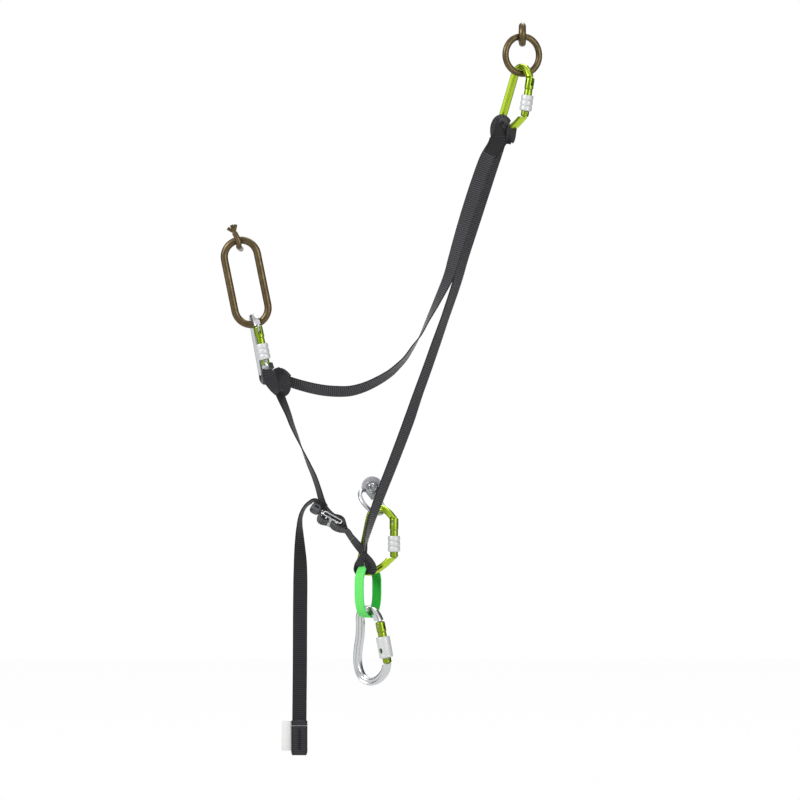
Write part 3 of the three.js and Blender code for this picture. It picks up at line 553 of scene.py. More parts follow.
def spread(points: Sequence[Vector]) -> Curve:
    """A centripetal Catmull-Rom curve, whose ends run on straight.

    Args:
        points: The points that it passes through.

    Returns:
        A function from 0..1 to a place.
    """
    first = points[0] * 2 - points[1]
    last = points[-1] * 2 - points[-2]
    full = [first, *points, last]

    def place(t: float) -> Vector:
        """The place on the curve.

        Args:
            t: Where, from 0 to 1.

        Returns:
            The place.
        """
        s = min(max(t, 0.0), 1.0) * (len(points) - 1)
        k = min(int(s), len(points) - 2)
        w = s - k
        p0, p1, p2, p3 = full[k:k + 4]
        gaps = [max((b - a).length, TINY) ** 0.5 for a, b in ((p0, p1), (p1, p2), (p2, p3))]
        d0, d1, d2 = gaps
        m1 = ((p1 - p0) / d0 - (p2 - p0) / (d0 + d1) + (p2 - p1) / d1) * d1
        m2 = ((p2 - p1) / d1 - (p3 - p1) / (d1 + d2) + (p3 - p2) / d2) * d1
        return (p1 * (2 * w**3 - 3 * w**2 + 1) + m1 * (w**3 - 2 * w**2 + w)
                + p2 * (3 * w**2 - 2 * w**3) + m2 * (w**3 - w**2))

    return place


def tangent(place: Curve, t: float) -> Vector:
    """The direction of a curve.

    Args:
        place: The curve.
        t: Where, from 0 to 1.

    Returns:
        A unit vector.
    """
    step = 1e-4
    return (place(min(t + step, 1.0)) - place(max(t - step, 0.0))).normalized()


def even(place: Curve, count: int, fine: int = 400) -> list[float]:
    """Parameters that cut a curve into equal lengths.

    Args:
        place: The curve.
        count: The number of stretches.
        fine: The number of samples that measure it.

    Returns:
        count + 1 parameters.
    """
    samples = [place(i / fine) for i in range(fine + 1)]
    sums = [0.0]
    for a, b in zip(samples, samples[1:]):
        sums.append(sums[-1] + (b - a).length)
    found = []
    k = 0
    for i in range(count + 1):
        aim = sums[-1] * i / count
        while k < fine - 1 and sums[k + 1] < aim:
            k += 1
        span = sums[k + 1] - sums[k]
        found.append((k + (aim - sums[k]) / span) / fine if span else k / fine)
    return found


@dataclass
class Skin:
    """Rings of points joined by faces, with a coordinate across and along."""

    rings: list[Ring]
    across: Sequence[float] | None = None
    closed: bool = False

    def arrays(self) -> tuple[list[Vector], list[tuple[int, ...]], list[list[Pair]]]:
        """Points, faces and the faces' coordinates.

        Returns:
            The three lists.
        """
        sides = len(self.rings[0])
        count = len(self.rings)
        points = [p for ring in self.rings for p in ring]
        middles = [sum(ring, Vector()) / sides for ring in self.rings]
        along = [0.0]
        for a, b in zip(middles, middles[1:] + middles[:1]):
            along.append(along[-1] + (b - a).length * MM)
        over = [a * MM for a in (self.across or [0.0] * sides)]
        faces: list[tuple[int, ...]] = []
        uvs: list[list[Pair]] = []
        for i in range(count if self.closed else count - 1):
            here, after = i * sides, ((i + 1) % count) * sides
            for j in range(sides):
                k = (j + 1) % sides
                faces.append((here + j, here + k, after + k, after + j))
                start, end = along[i], along[i + 1]
                uvs.append([(start, over[j]), (start, over[k]), (end, over[k]), (end, over[j])])
        if not self.closed:
            last = (count - 1) * sides
            faces.append(tuple(range(sides - 1, -1, -1)))
            uvs.append([(0.0, over[j]) for j in range(sides - 1, -1, -1)])
            faces.append(tuple(last + j for j in range(sides)))
            uvs.append([(along[-2], over[j]) for j in range(sides)])
        return points, faces, uvs


def mesh_of(name: str, skins: Sequence[Skin], matrix: Matrix | None = None) -> bpy.types.Mesh:
    """One mesh from several skins.

    Args:
        name: The mesh's name.
        skins: The skins, in millimetres.
        matrix: Where they go, in millimetres.

    Returns:
        The mesh, in metres, with its faces pointing out.
    """
    points: list[Vector] = []
    faces: list[tuple[int, ...]] = []
    uvs: list[list[Pair]] = []
    for skin in skins:
        start = len(points)
        more_points, more_faces, more_uvs = skin.arrays()
        points += more_points
        faces += [tuple(start + k for k in face) for face in more_faces]
        uvs += more_uvs
    if matrix is not None:
        points = [matrix @ p for p in points]
    mesh = bpy.data.meshes.new(name)
    mesh.from_pydata([p * MM for p in points], [], faces)
    layer = mesh.uv_layers.new(name="UVMap")
    for polygon, corners in zip(mesh.polygons, uvs):
        for loop, corner in zip(polygon.loop_indices, corners):
            layer.data[loop].uv = corner
    tidy(mesh)
    return mesh


def tidy(mesh: bpy.types.Mesh, merge: float = 1e-6) -> None:
    """Merges doubles and turns every face outwards.

    Args:
        mesh: The mesh.
        merge: The distance under which points are one.
    """
    work = bmesh.new()
    work.from_mesh(mesh)
    bmesh.ops.remove_doubles(work, verts=work.verts, dist=merge)
    bmesh.ops.recalc_face_normals(work, faces=work.faces)
    work.to_mesh(mesh)
    work.free()
    mesh.update()


def smooth(mesh: bpy.types.Mesh, angle: float = 38.0) -> None:
    """Smooth shading, sharp past an angle.

    Args:
        mesh: The mesh.
        angle: The angle, in degrees.
    """
    mesh.shade_smooth()
    mesh.set_sharp_from_angle(angle=math.radians(angle))


def add(name: str, mesh: bpy.types.Mesh, *finishes: Finish) -> bpy.types.Object:
    """An object at the origin.

    Args:
        name: Its name.
        mesh: Its mesh.
        finishes: Its finishes, one for each material slot.

    Returns:
        The object.
    """
    piece = bpy.data.objects.new(name, mesh)
    mesh.materials.clear()
    for finish in finishes:
        mesh.materials.append(finish.paint())
    bpy.context.scene.collection.objects.link(piece)
    return piece


def applied(piece: bpy.types.Object) -> bpy.types.Object:
    """Turns the live modifiers into plain mesh.

    Args:
        piece: The object.

    Returns:
        The same object without modifiers.
    """
    graph = bpy.context.evaluated_depsgraph_get()
    graph.update()
    made = bpy.data.meshes.new_from_object(piece.evaluated_get(graph))
    piece.modifiers.clear()
    piece.data = made
    return piece


def worked(piece: bpy.types.Object, skins: Sequence[Skin], join: Join = Join.CUT,
           matrix: Matrix | None = None) -> bpy.types.Object:
    """Cuts other shapes out of a piece, or welds them to it.

    Args:
        piece: The piece.
        skins: The other shapes, in millimetres.
        join: Whether they are cut out or welded on.
        matrix: Where they go, in millimetres.

    Returns:
        The changed piece.
    """
    for skin in skins:
        helper = add("helper", mesh_of("helper", [skin], matrix))
        step = piece.modifiers.new("work", "BOOLEAN")
        step.operation = join.value
        step.solver = "EXACT"
        step.object = helper
        applied(piece)
        bpy.data.objects.remove(helper)
    return piece


def bevelled(piece: bpy.types.Object, width: float, segments: int = 2,
             angle: float = 40.0) -> bpy.types.Object:
    """Rounds the sharp edges.

    Args:
        piece: The object.
        width: The rounding, in millimetres.
        segments: Its number of faces.
        angle: Edges sharper than this are rounded, in degrees.

    Returns:
        The same object.
    """
    step = piece.modifiers.new("round", "BEVEL")
    step.width = width * MM
    step.segments = segments
    step.limit_method = "ANGLE"
    step.angle_limit = math.radians(angle)
    step.use_clamp_overlap = True
    return applied(piece)


def handed(piece: bpy.types.Object, body: Body, slot: Slot, *nodes: str) -> bpy.types.Object:
    """Hands a finished piece to the frame.

    Args:
        piece: The piece.
        body: The body that it rides on.
        slot: The record's material slot. Not used.
        nodes: The nodes that it stands for.

    Returns:
        The piece.
    """
    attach(piece, body.value)
    if nodes:
        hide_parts(*nodes)
    LOG.info("%s: %d faces on %s", piece.name, len(piece.data.polygons), body.value)
    return piece


def dressed(name: str, skins: Sequence[Skin], finish: Finish, body: Body, slot: Slot, *nodes: str,
            matrix: Matrix | None = None, angle: float = 50.0) -> bpy.types.Object:
    """Builds a piece from its skins and hands it over.

    Args:
        name: Its name.
        skins: Its surfaces.
        finish: Its finish.
        body: The body that it rides on.
        slot: The record's material slot.
        nodes: The nodes that it stands for.
        matrix: Where the skins go, in millimetres.
        angle: Edges sharper than this stay sharp, in degrees.

    Returns:
        The piece.
    """
    piece = add(name, mesh_of(name, skins, matrix), finish)
    smooth(piece.data, angle)
    return handed(piece, body, slot, *nodes)


def oval(centre: Vector, first: Vector, second: Vector, count: int) -> Ring:
    """Points round an oval.

    Args:
        centre: Its middle.
        first: Its first half axis.
        second: Its second half axis.
        count: The number of points.

    Returns:
        The points.
    """
    turns = (2 * math.pi * j / count for j in range(count))
    return [centre + first * math.cos(a) + second * math.sin(a) for a in turns]


def lathe(rows: Sequence[Pair], sides: int = 48) -> Skin:
    """A revolved profile about Z that starts and ends on the axis, or closes on itself.

    Args:
        rows: Radius and height of each corner, in millimetres.
        sides: The number of sides.

    Returns:
        The skin.
    """
    rings = []
    for radius, height in rows:
        flat = max(radius, 1e-4)
        rings.append(oval(Vector((0, 0, height)), Vector((flat, 0, 0)), Vector((0, flat, 0)), sides))
    closed = rows[0] == rows[-1]
    return Skin(rings[:-1] if closed else rings, closed=closed)


def rounded_rows(rows: Sequence[Pair], radius: float, steps: int = 3) -> list[Pair]:
    """A profile with its corners rounded.

    Args:
        rows: The corners.
        radius: The rounding, in millimetres.
        steps: The number of points on a corner.

    Returns:
        The longer list.
    """
    made = [rows[0]]
    for before, here, after in zip(rows, rows[1:], rows[2:]):
        a, b, c = (Vector((*row, 0)) for row in (before, here, after))
        into, out = (a - b), (c - b)
        reach = min(radius, into.length * 0.45, out.length * 0.45)
        if here[0] < 0.01 or reach < 0.01:
            made.append(here)
            continue
        start = b + into.normalized() * reach
        end = b + out.normalized() * reach
        for i in range(steps + 1):
            t = i / steps
            p = start * (1 - t) ** 2 + b * 2 * t * (1 - t) + end * t**2
            made.append((p.x, p.y))
    made.append(rows[-1])
    return made


def bar(radius: float, start: Vector, end: Vector, sides: int = 24) -> Skin:
    """A straight round bar.

    Args:
        radius: Its radius in millimetres.
        start: One end.
        end: The other end.
        sides: The number of sides.

    Returns:
        The skin.
    """
    along = (end - start).normalized()
    side = along.orthogonal().normalized()
    up = along.cross(side)
    return Skin([oval(p, side * radius, up * radius, sides) for p in (start, end)])


def cross_bar(radius: float, reach: float, x: float, z: float, sides: int = 24) -> Skin:
    """A round bar that lies evenly on both sides of the plane Y = 0.

    Args:
        radius: Its radius in millimetres.
        reach: How far it goes on either side.
        x: Its place along X.
        z: Its height.
        sides: The number of sides.

    Returns:
        The skin.
    """
    return bar(radius, Vector((x, -reach, z)), Vector((x, reach, z)), sides)


def wire(points: Sequence[Vector], radius: float, sides: int = 24) -> Skin:
    """A round wire along a closed loop.

    Args:
        points: Its centreline, in millimetres.
        radius: Its radius.
        sides: The number of sides.

    Returns:
        The skin.
    """
    count = len(points)
    rings = []
    side = Vector((0, 1, 0))
    for i, p in enumerate(points):
        along = (points[(i + 1) % count] - points[i - 1]).normalized()
        side = (side - along * side.dot(along)).normalized()
        rings.append(oval(p, side * radius, along.cross(side) * radius, sides))
    return Skin(rings, closed=True)


def hoop(radius: float, thick: float) -> Skin:
    """A round ring of wire in the plane Y = 0.

    Args:
        radius: The radius of its centreline, in millimetres.
        thick: The wire's radius.

    Returns:
        The skin.
    """
    return wire(oval(Vector(), Vector((radius, 0, 0)), Vector((0, 0, radius)), count=96), thick)


def block(low: Sequence[float], high: Sequence[float]) -> Skin:
    """A box from its two corners, in millimetres.

    Args:
        low: The lowest corner.
        high: The highest corner.

    Returns:
        The skin.
    """
    corners = [(low[0], low[1]), (high[0], low[1]), (high[0], high[1]), (low[0], high[1])]
    return Skin([[Vector((x, y, z)) for x, y in corners] for z in (low[2], high[2])])


FRAME: dict = {}


def copied(node: str, name: str, rounding: float, finish: Finish) -> bpy.types.Object:
    """A merged and rounded copy of a node.

    Args:
        node: The node.
        name: The copy's name.
        rounding: Its edge rounding in millimetres.
        finish: Its finish.

    Returns:
        The copy.
    """
    source = FRAME["nodes"][node]
    mesh = source.data.copy()
    mesh.name = name
    mesh.transform(source.matrix_world)
    tidy(mesh, 2e-6)
    piece = add(name, mesh, finish)
    bevelled(piece, rounding)
    smooth(piece.data)
    return piece


def paint_node(node: str, finish: Finish) -> None:
    """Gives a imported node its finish.

    Args:
        node: The node's name.
        finish: The finish.
    """
    piece = FRAME["nodes"][node]
    if not piece.material_slots:
        piece.data.materials.append(finish.paint())
    for entry in piece.material_slots:
        entry.link = "OBJECT"
        entry.material = finish.paint()


# Carabiners


@dataclass(frozen=True)
class Place:
    """Where a group stands: its middle, its lean and its turn about the vertical, in degrees."""

    origin: Triple
    lean: float
    yaw: float

    def matrix(self) -> Matrix:
        """The group's matrix.

        Returns:
            The matrix, in millimetres.
        """
        lean = Matrix.Rotation(math.radians(self.lean), 4, "Y")
        yaw = Matrix.Rotation(math.radians(-self.yaw), 4, "Z")
        return Matrix.Translation(self.origin) @ lean @ yaw


@dataclass(frozen=True)
class CarabinerSizes:
    """A carabiner's sizes in millimetres, and its rod's path as shares of its width and height."""

    width: float
    height: float
    rod_half: float
    rod_deep: float
    groove: float
    gate_length: float
    gate_radius: float
    gate_top_radius: float
    collar_from_top: float
    sleeve_length: float
    sleeve_top_from_top: float
    sleeve_radius: float
    path_shares: tuple[Pair, ...]


D_SIZES = CarabinerSizes(
    width=60, height=100, rod_half=4.7, rod_deep=5.5, groove=1.2,
    gate_length=55, gate_radius=5.6, gate_top_radius=6.2, collar_from_top=16.6,
    sleeve_length=22.1, sleeve_top_from_top=25, sleeve_radius=8.6,
    path_shares=(
        (0.0, 0.26), (0.05, 0.293), (0.11, 0.335), (0.2, 0.38), (0.29, 0.41), (0.38, 0.415), (0.47, 0.4),
        (0.545, 0.365), (0.6, 0.29), (0.655, 0.15), (0.71, 0.0), (0.765, -0.15), (0.825, -0.32),
        (0.83, -0.39), (0.785, -0.45), (0.7, -0.482), (0.59, -0.488), (0.48, -0.468), (0.35, -0.425),
        (0.22, -0.37), (0.11, -0.31), (0.0, -0.25),
    ),
)
PEAR_SIZES = CarabinerSizes(
    width=70, height=115, rod_half=5.6, rod_deep=6.2, groove=1.2,
    gate_length=59, gate_radius=6.1, gate_top_radius=6.7, collar_from_top=14.9,
    sleeve_length=29.9, sleeve_top_from_top=21.2, sleeve_radius=9.8,
    path_shares=(
        (0.0, 0.24), (0.02, 0.285), (0.05, 0.335), (0.115, 0.39), (0.215, 0.425), (0.325, 0.43),
        (0.42, 0.405), (0.48, 0.34), (0.515, 0.245), (0.585, 0.105), (0.685, -0.035), (0.755, -0.17),
        (0.765, -0.27), (0.725, -0.36), (0.64, -0.418), (0.53, -0.446), (0.42, -0.448), (0.3, -0.43),
        (0.18, -0.39), (0.08, -0.335), (0.0, -0.24),
    ),
)


@dataclass(frozen=True)
class Carabiner:
    """One locking carabiner: rod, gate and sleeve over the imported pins, plunger and spring."""

    prefix: str
    sizes: CarabinerSizes
    place: Place
    body: Body = Body.STATION
    slot: Slot = Slot.LIME
    finish: Finish = LIME
    lock: Lock = Lock.SCREW
    rod_steps: int = 120
    rod_sides: int = 44
    rod_power: float = 2.7
    groove_share: float = 0.42
    groove_fade_share: float = 0.2
    hinge_from_top: float = 5.5
    pin_hole: float = 1.6
    tongue_thick: float = 3.6
    tongue_half: float = 3.3
    tongue_rise: float = 2.6
    top_slot_depth: float = 11.0
    nose_head_thick: float = 5.8
    nose_head_height: float = 3.2
    nose_reach: float = 7.0
    nose_back: float = 2.0
    nose_front: float = 3.2
    nose_play: float = 0.6
    nose_dip: float = 0.9
    gate_rise: float = 2.0
    swing_share: float = 0.4
    swing_reach: float = 20.0
    collar_line: float = 0.35
    collar_wide: float = 0.5
    tool_reach: float = 9.0
    bore_radius: float = 2.7
    bore_depth: float = 34.0
    seat_gap: float = 0.3
    run_gap: float = 0.35
    overrun: float = 2.0
    rod_rounding: float = 0.3
    gate_rounding: float = 0.22
    gate_top_rounding: float = 2.4
    sleeve_rounding: float = 0.5
    sleeve_rings: int = 3
    ring_dip: float = 0.75
    twist_space: float = 1.7
    twist_space_length: float = 9.0
    window_from_top: float = 19.0
    window_halves: Pair = (2.7, 4.1)

    @property
    def half(self) -> float:
        """Half the gate's length."""
        return self.sizes.gate_length / 2

    @property
    def pin_height(self) -> float:
        """The height of the hinge pin."""
        return self.half - self.hinge_from_top

    def make(self) -> None:
        """Builds and dresses every piece."""
        prefix = self.prefix
        handed(self.frame(), self.body, self.slot, f"{prefix}_frame")
        handed(self.gate(), Body(f"{prefix}_gate_body"), Slot.LIME, f"{prefix}_gate")
        handed(self.sleeve(), Body(f"{prefix}_sleeve_body"), Slot.SILVER, f"{prefix}_sleeve")
        inside = {"hinge_pin": STEEL, "plunger": STEEL, "gate_spring": SPRING}
        if self.lock is Lock.TWIST:
            inside["sleeve_spring"] = SPRING
        for node, finish in inside.items():
            paint_node(f"{prefix}_{node}", finish)

    def path(self) -> Curve:
        """The rod's centreline in the carabiner's own plane.

        Returns:
            The curve.
        """
        sizes = self.sizes
        points = [Vector((-a * sizes.width, 0, b * sizes.height)) for a, b in sizes.path_shares]
        points[0].z = self.half - sizes.rod_half / 2
        points[-1].z = -self.half + sizes.rod_half / 2
        return spread(points)

    def rod(self) -> Skin:
        """The forged rod, with a groove along both faces that fades towards its ends.

        Returns:
            The skin.
        """
        sizes, place = self.sizes, self.path()
        rings = []
        for i, t in enumerate(even(place, self.rod_steps)):
            s = i / self.rod_steps
            along = tangent(place, t)
            out = Vector((-along.z, 0, along.x))
            fade = min(1.0, s / self.groove_fade_share, (1 - s) / self.groove_fade_share)
            ring = []
            for j in range(self.rod_sides):
                angle = 2 * math.pi * j / self.rod_sides
                a = squared(math.cos(angle), 2 / self.rod_power)
                b = squared(math.sin(angle), 2 / self.rod_power)
                dip = sizes.groove * fade * max(0.0, 1 - (a / self.groove_share) ** 2) ** 1.5
                deep = b * sizes.rod_deep - math.copysign(dip, b) * (abs(b) > 0.5)
                ring.append(place(t) + out * a * sizes.rod_half + Vector((0, deep, 0)))
            rings.append(ring)
        return Skin(rings)

    def frame(self) -> bpy.types.Object:
        """The rod with its hinge tongue and keyed nose.

        Returns:
            The piece.
        """
        sizes, half, pin = self.sizes, self.half, self.pin_height
        room_radius = sizes.gate_top_radius + self.run_gap
        low, high = -half - self.nose_dip, half + self.gate_rise
        side = self.swing_reach
        room = lathe([(0, low), (room_radius, low), (room_radius, high), (0, high)], sides=64)
        swing = block((-sizes.width / 3, -side, low), (0, side, low + sizes.gate_length * self.swing_share))
        piece = add(f"{self.prefix}_rod", mesh_of("rod", [self.rod()]), self.finish)
        worked(piece, (room, swing))
        thick = self.tongue_thick / 2
        tongue = block((-self.tongue_half, -thick, pin), (self.tongue_half, thick, half + self.tongue_rise))
        heel = cross_bar(self.tongue_half, thick, x=0, z=pin, sides=32)
        back, front = -self.nose_back, self.nose_front
        top = -half + self.nose_reach
        wide = self.nose_head_thick / 2
        neck = block((back, -thick, -half - self.overrun), (front, thick, top - 1))
        head = block((back, -wide, top - self.nose_head_height), (front, wide, top))
        worked(piece, (tongue, heel, neck, head), Join.WELD)
        worked(piece, (self.pin_tool(),))
        return self.stood(piece, self.rod_rounding)

    def pin_tool(self) -> Skin:
        """The tool for the hinge pin's hole."""
        return cross_bar(self.pin_hole, self.tool_reach, x=0, z=self.pin_height)

    def stood(self, piece: bpy.types.Object, rounding: float) -> bpy.types.Object:
        """Rounds the cut edges and moves a piece from the carabiner's frame to its place.

        Args:
            piece: The piece, in the carabiner's own frame.
            rounding: Its edge rounding in millimetres, or 0.

        Returns:
            The placed piece.
        """
        tidy(piece.data)
        if rounding:
            bevelled(piece, rounding, angle=50)
        smooth(piece.data, angle=36)
        matrix = self.place.matrix()
        matrix.translation *= MM
        piece.data.transform(matrix)
        return piece

    def gate(self) -> bpy.types.Object:
        """The gate tube: fork at the top, keyed slot at the bottom, bore and pin hole.

        Returns:
            The piece.
        """
        sizes, half = self.sizes, self.half
        radius, top = sizes.gate_radius, sizes.gate_top_radius
        collar = half - sizes.collar_from_top
        inset, edge, line = radius - self.collar_line, self.collar_wide, self.collar_wide - 0.2
        rows = rounded_rows([
            (0, -half), (radius, -half), (radius, collar - edge), (inset, collar - line),
            (inset, collar + line), (top, collar + edge), (top, half), (0, half),
        ], self.gate_top_rounding, steps=6)
        piece = add(f"{self.prefix}_gate_tube", mesh_of("gate", [lathe(rows, sides=56)]), LIME_GATE)
        slot = self.tongue_thick / 2 + self.seat_gap
        wide = self.nose_head_thick / 2 + self.seat_gap
        reach = radius + self.overrun
        side = self.tool_reach
        head_low = -half + self.nose_reach - self.nose_head_height - self.seat_gap
        head_high = -half + self.nose_reach + self.nose_play
        back = -self.nose_back - self.seat_gap
        floor, past, bore = half - self.bore_depth, half + 1, self.bore_radius
        worked(piece, (
            block((-side, -slot, half - self.top_slot_depth), (side, slot, half + self.overrun)),
            block((back, -slot, -half - self.overrun), (reach, slot, head_low + 1)),
            block((back, -wide, head_low), (reach, wide, head_high)),
            lathe([(0, floor), (bore, floor), (bore, past), (0, past)], sides=24),
            self.pin_tool(),
        ))
        return self.stood(piece, self.gate_rounding)

    def screw_outline(self, inner: float, outer: float, low: float, top: float) -> list[Pair]:
        """The section of a screw sleeve with rounded rings.

        Args:
            inner: Its bore's radius.
            outer: Its outer radius.
            low: Its lower end.
            top: Its upper end.

        Returns:
            Radius and height of each corner.
        """
        pitch = self.sizes.sleeve_length / self.sleeve_rings
        valley = outer - self.ring_dip
        outline = [(inner, low)]
        for start in (low + i * pitch for i in range(self.sleeve_rings)):
            outline += [
                (valley, start + 0.05), (outer, start + pitch * 0.2), (outer, start + pitch * 0.8),
                (valley, start + pitch - 0.05), (outer - 1.0, start + pitch),
            ]
        outline[-1] = (valley, top)
        return outline + [(inner, top), (inner, low)]

    def twist_outline(self, inner: float, outer: float, low: float, top: float) -> list[Pair]:
        """The section of a twist sleeve with a groove near its foot and room for its spring.

        Args:
            inner: Its bore's radius.
            outer: Its outer radius.
            low: Its lower end.
            top: Its upper end.

        Returns:
            Radius and height of each corner.
        """
        room, shelf = inner + self.twist_space, top - self.twist_space_length
        inset = outer - 0.35
        return [
            (inner, low), (outer - 0.8, low), (outer, low + 1.6), (outer, low + 4), (inset, low + 4.3),
            (inset, low + 5.2), (outer, low + 5.5), (outer, top - 1.6), (outer - 0.8, top), (room, top),
            (room, shelf), (inner, shelf), (inner, low),
        ]

    def sleeve(self) -> bpy.types.Object:
        """The screw sleeve with three rounded rings, or the twist sleeve with its window.

        Returns:
            The piece.
        """
        sizes = self.sizes
        inner, outer = sizes.gate_radius + self.run_gap, sizes.sleeve_radius
        top = self.half - sizes.sleeve_top_from_top
        twist = self.lock is Lock.TWIST
        outline = (self.twist_outline if twist else self.screw_outline)(
            inner, outer, top - sizes.sleeve_length, top)
        rows = rounded_rows(outline, self.sleeve_rounding)
        piece = add(f"{self.prefix}_lock_sleeve", mesh_of("sleeve", [lathe(rows, sides=64)]), FROSTED)
        if twist:
            wide, tall = self.window_halves
            middle = top - self.window_from_top
            window = Skin([
                oval(Vector((0, y, middle)), Vector((wide, 0, 0)), Vector((0, 0, tall)), count=32)
                for y in (-outer - self.overrun, -inner + 1)
            ])
            worked(piece, (window,))
        return self.stood(piece, 0)


# Anchors


@dataclass(frozen=True)
class UpperAnchor:
    """The eye bolt, seen edge-on, and its free ring."""

    eye: Triple = (210.0, -42.0, 633.0)
    eye_radius: float = 12.0
    eye_wire: float = 5.0
    shank_end: float = 60.0
    ring_radius: float = 26.3
    ring_wire: float = 4.5
    ring_turn: float = 26.0
    ring_height: float = 604.5
    sides: int = 28

    def make(self) -> None:
        """Builds and dresses both pieces."""
        centre = Vector(self.eye)
        x, y, z = self.eye
        loop = oval(centre, Vector((0, self.eye_radius, 0)), Vector((0, 0, self.eye_radius)), count=64)
        eye = add("eye_bolt", mesh_of("eye", [wire(loop, self.eye_wire, self.sides)]), BRONZE)
        start, end = Vector((x, y + self.eye_radius, z)), Vector((x, self.shank_end, z))
        worked(eye, (bar(self.eye_wire, start, end, self.sides),), Join.WELD)
        tidy(eye.data)
        bevelled(eye, 1.0, segments=3, angle=30)
        smooth(eye.data, angle=60)
        handed(eye, Body.STATION, Slot.BRONZE, "upper_eye_bolt")
        turn = Matrix.Rotation(math.radians(self.ring_turn), 4, "Z")
        matrix = Matrix.Translation((x, y, self.ring_height)) @ turn
        dressed("round_ring", [hoop(self.ring_radius, self.ring_wire)], BRONZE, Body.UPPER_RING, Slot.BRONZE,
                "upper_ring", matrix=matrix, angle=180)


@dataclass(frozen=True)
class LeftAnchor:
    """The splayed peg and its oblong link."""

    length: float = 130.0
    width: float = 57.0
    rod: float = 5.15
    tilt: float = -11.5
    peg: Triple = (-186.0, -42.0, 336.0)
    seat_drop: float = 9.45
    bend_steps: int = 32

    def make(self) -> None:
        """Builds and dresses both pieces."""
        bend = self.width / 2 - self.rod
        straight = self.length / 2 - self.width / 2
        points = []
        for up, start in ((1, 0.0), (-1, math.pi)):
            for a in (start + math.pi * i / self.bend_steps for i in range(self.bend_steps + 1)):
                points.append(Vector((bend * math.cos(a), 0, up * straight + bend * math.sin(a))))
        lean = Matrix.Rotation(math.radians(self.tilt), 4, "Y")
        seat = Vector((0, 0, straight + bend - self.seat_drop))
        matrix = Matrix.Translation(Vector(self.peg) - lean @ seat) @ lean
        link = wire(points, self.rod, sides=28)
        dressed("oblong_link", [link], BRONZE, Body.STATION, Slot.BRONZE, "left_link", matrix=matrix,
                angle=180)
        handed(copied("left_peg", "splayed_peg", 0.5, BRONZE), Body.STATION, Slot.BRONZE, "left_peg")


@dataclass(frozen=True)
class CentreAnchor:
    """The folded hanger, its bolt, washer and round ring."""

    ring_radius: float = 21.0
    ring_wire: float = 3.0
    ring_centre: Triple = (-0.6, -28.0, -20.5)
    ring_roll: float = 45.0
    ring_slant: float = -62.6

    def make(self) -> None:
        """Builds and dresses the pieces."""
        roll = Matrix.Rotation(math.radians(self.ring_roll), 4, "Y")
        slant = Matrix.Rotation(math.radians(self.ring_slant), 4, "X")
        matrix = Matrix.Translation(self.ring_centre) @ (roll @ slant)
        dressed("hanger_round_ring", [hoop(self.ring_radius, self.ring_wire)], ZINC, Body.HANGER_RING,
                Slot.STEEL, "hanger_ring", matrix=matrix, angle=180)
        for node, name, rounding, finish, slot in (
            ("hanger_plate", "folded_hanger", 0.7, ZINC, Slot.ZINC),
            ("hanger_washer", "round_washer", 0.3, STEEL, Slot.ZINC),
            ("hanger_bolt", "socket_bolt", 0.3, STEEL, Slot.STEEL),
        ):
            handed(copied(node, name, rounding, finish), Body.STATION, slot, node)


# Webbing


def strap_section(wide: float, thick: float) -> tuple[list[Pair], list[float]]:
    """A webbing's section: flat faces, slightly thicker towards soft rounded edges.

    Args:
        wide: Its width in millimetres.
        thick: Its thickness.

    Returns:
        The section's corners and each corner's coordinate across.
    """
    half, deep = wide / 2, thick / 2
    upper = [(-1.0, 0.0), (-0.985, 0.55), (-0.94, 0.95), (-0.86, 1.0), (-0.6, 0.9), (-0.2, 0.86),
             (0.2, 0.86), (0.6, 0.9), (0.86, 1.0), (0.94, 0.95), (0.985, 0.55)]
    lower = [(-a, -b) for a, b in upper]
    corners = [(a * half, b * deep) for a, b in upper + lower]
    return corners, [a for a, _ in corners]


def between(entries: Sequence[float], t: float) -> float:
    """A number between evenly spaced ones.

    Args:
        entries: The given numbers.
        t: Where, from 0 to 1.

    Returns:
        The number there.
    """
    s = t * (len(entries) - 1)
    k = min(int(s), len(entries) - 2)
    return entries[k] + (entries[k + 1] - entries[k]) * (s - k)


@dataclass(frozen=True)
class Strap:
    """Flat webbing on a route of x, y, z and turn rows. A turn of 0 faces the viewer and 90 is edge-on."""

    rows: tuple[Row, ...]
    wide: float = 20.0
    shares: tuple[float, ...] = (1.0, 1.0)
    thick: float = 1.9
    steps: int = 160

    def curve(self) -> Curve:
        """The centreline."""
        return spread([Vector(row[:3]) for row in self.rows])

    def frame_at(self, place: Curve, t: float) -> tuple[Vector, Vector, Vector]:
        """The strap's centre and its two directions.

        Args:
            place: The centreline.
            t: Where, from 0 to 1.

        Returns:
            The centre, the direction across and the face's normal.
        """
        turn = math.radians(between([row[3] for row in self.rows], t))
        along = tangent(place, t)
        side = Vector((-along.z, 0, along.x)).normalized()
        across = side * math.cos(turn) + Vector((0, math.sin(turn), 0))
        across = (across - along * across.dot(along)).normalized()
        return place(t), across, along.cross(across)

    def skin(self) -> Skin:
        """The strap's surface.

        Returns:
            The skin.
        """
        place = self.curve()
        corners, over = strap_section(self.wide, self.thick)
        rings = []
        for t in even(place, self.steps):
            centre, across, face = self.frame_at(place, t)
            share = between(self.shares, t)
            rings.append([centre + across * a * share + face * b for a, b in corners])
        return Skin(rings, over)

    def path(self, count: int = 60) -> list[Vector]:
        """Points of the centreline, in metres.

        Args:
            count: The number of stretches between them.

        Returns:
            The points.
        """
        place = self.curve()
        return [place(t) * MM for t in even(place, count)]

    def length(self) -> float:
        """The centreline's length, in metres."""
        points = self.path(200)
        return sum((b - a).length for a, b in zip(points, points[1:]))


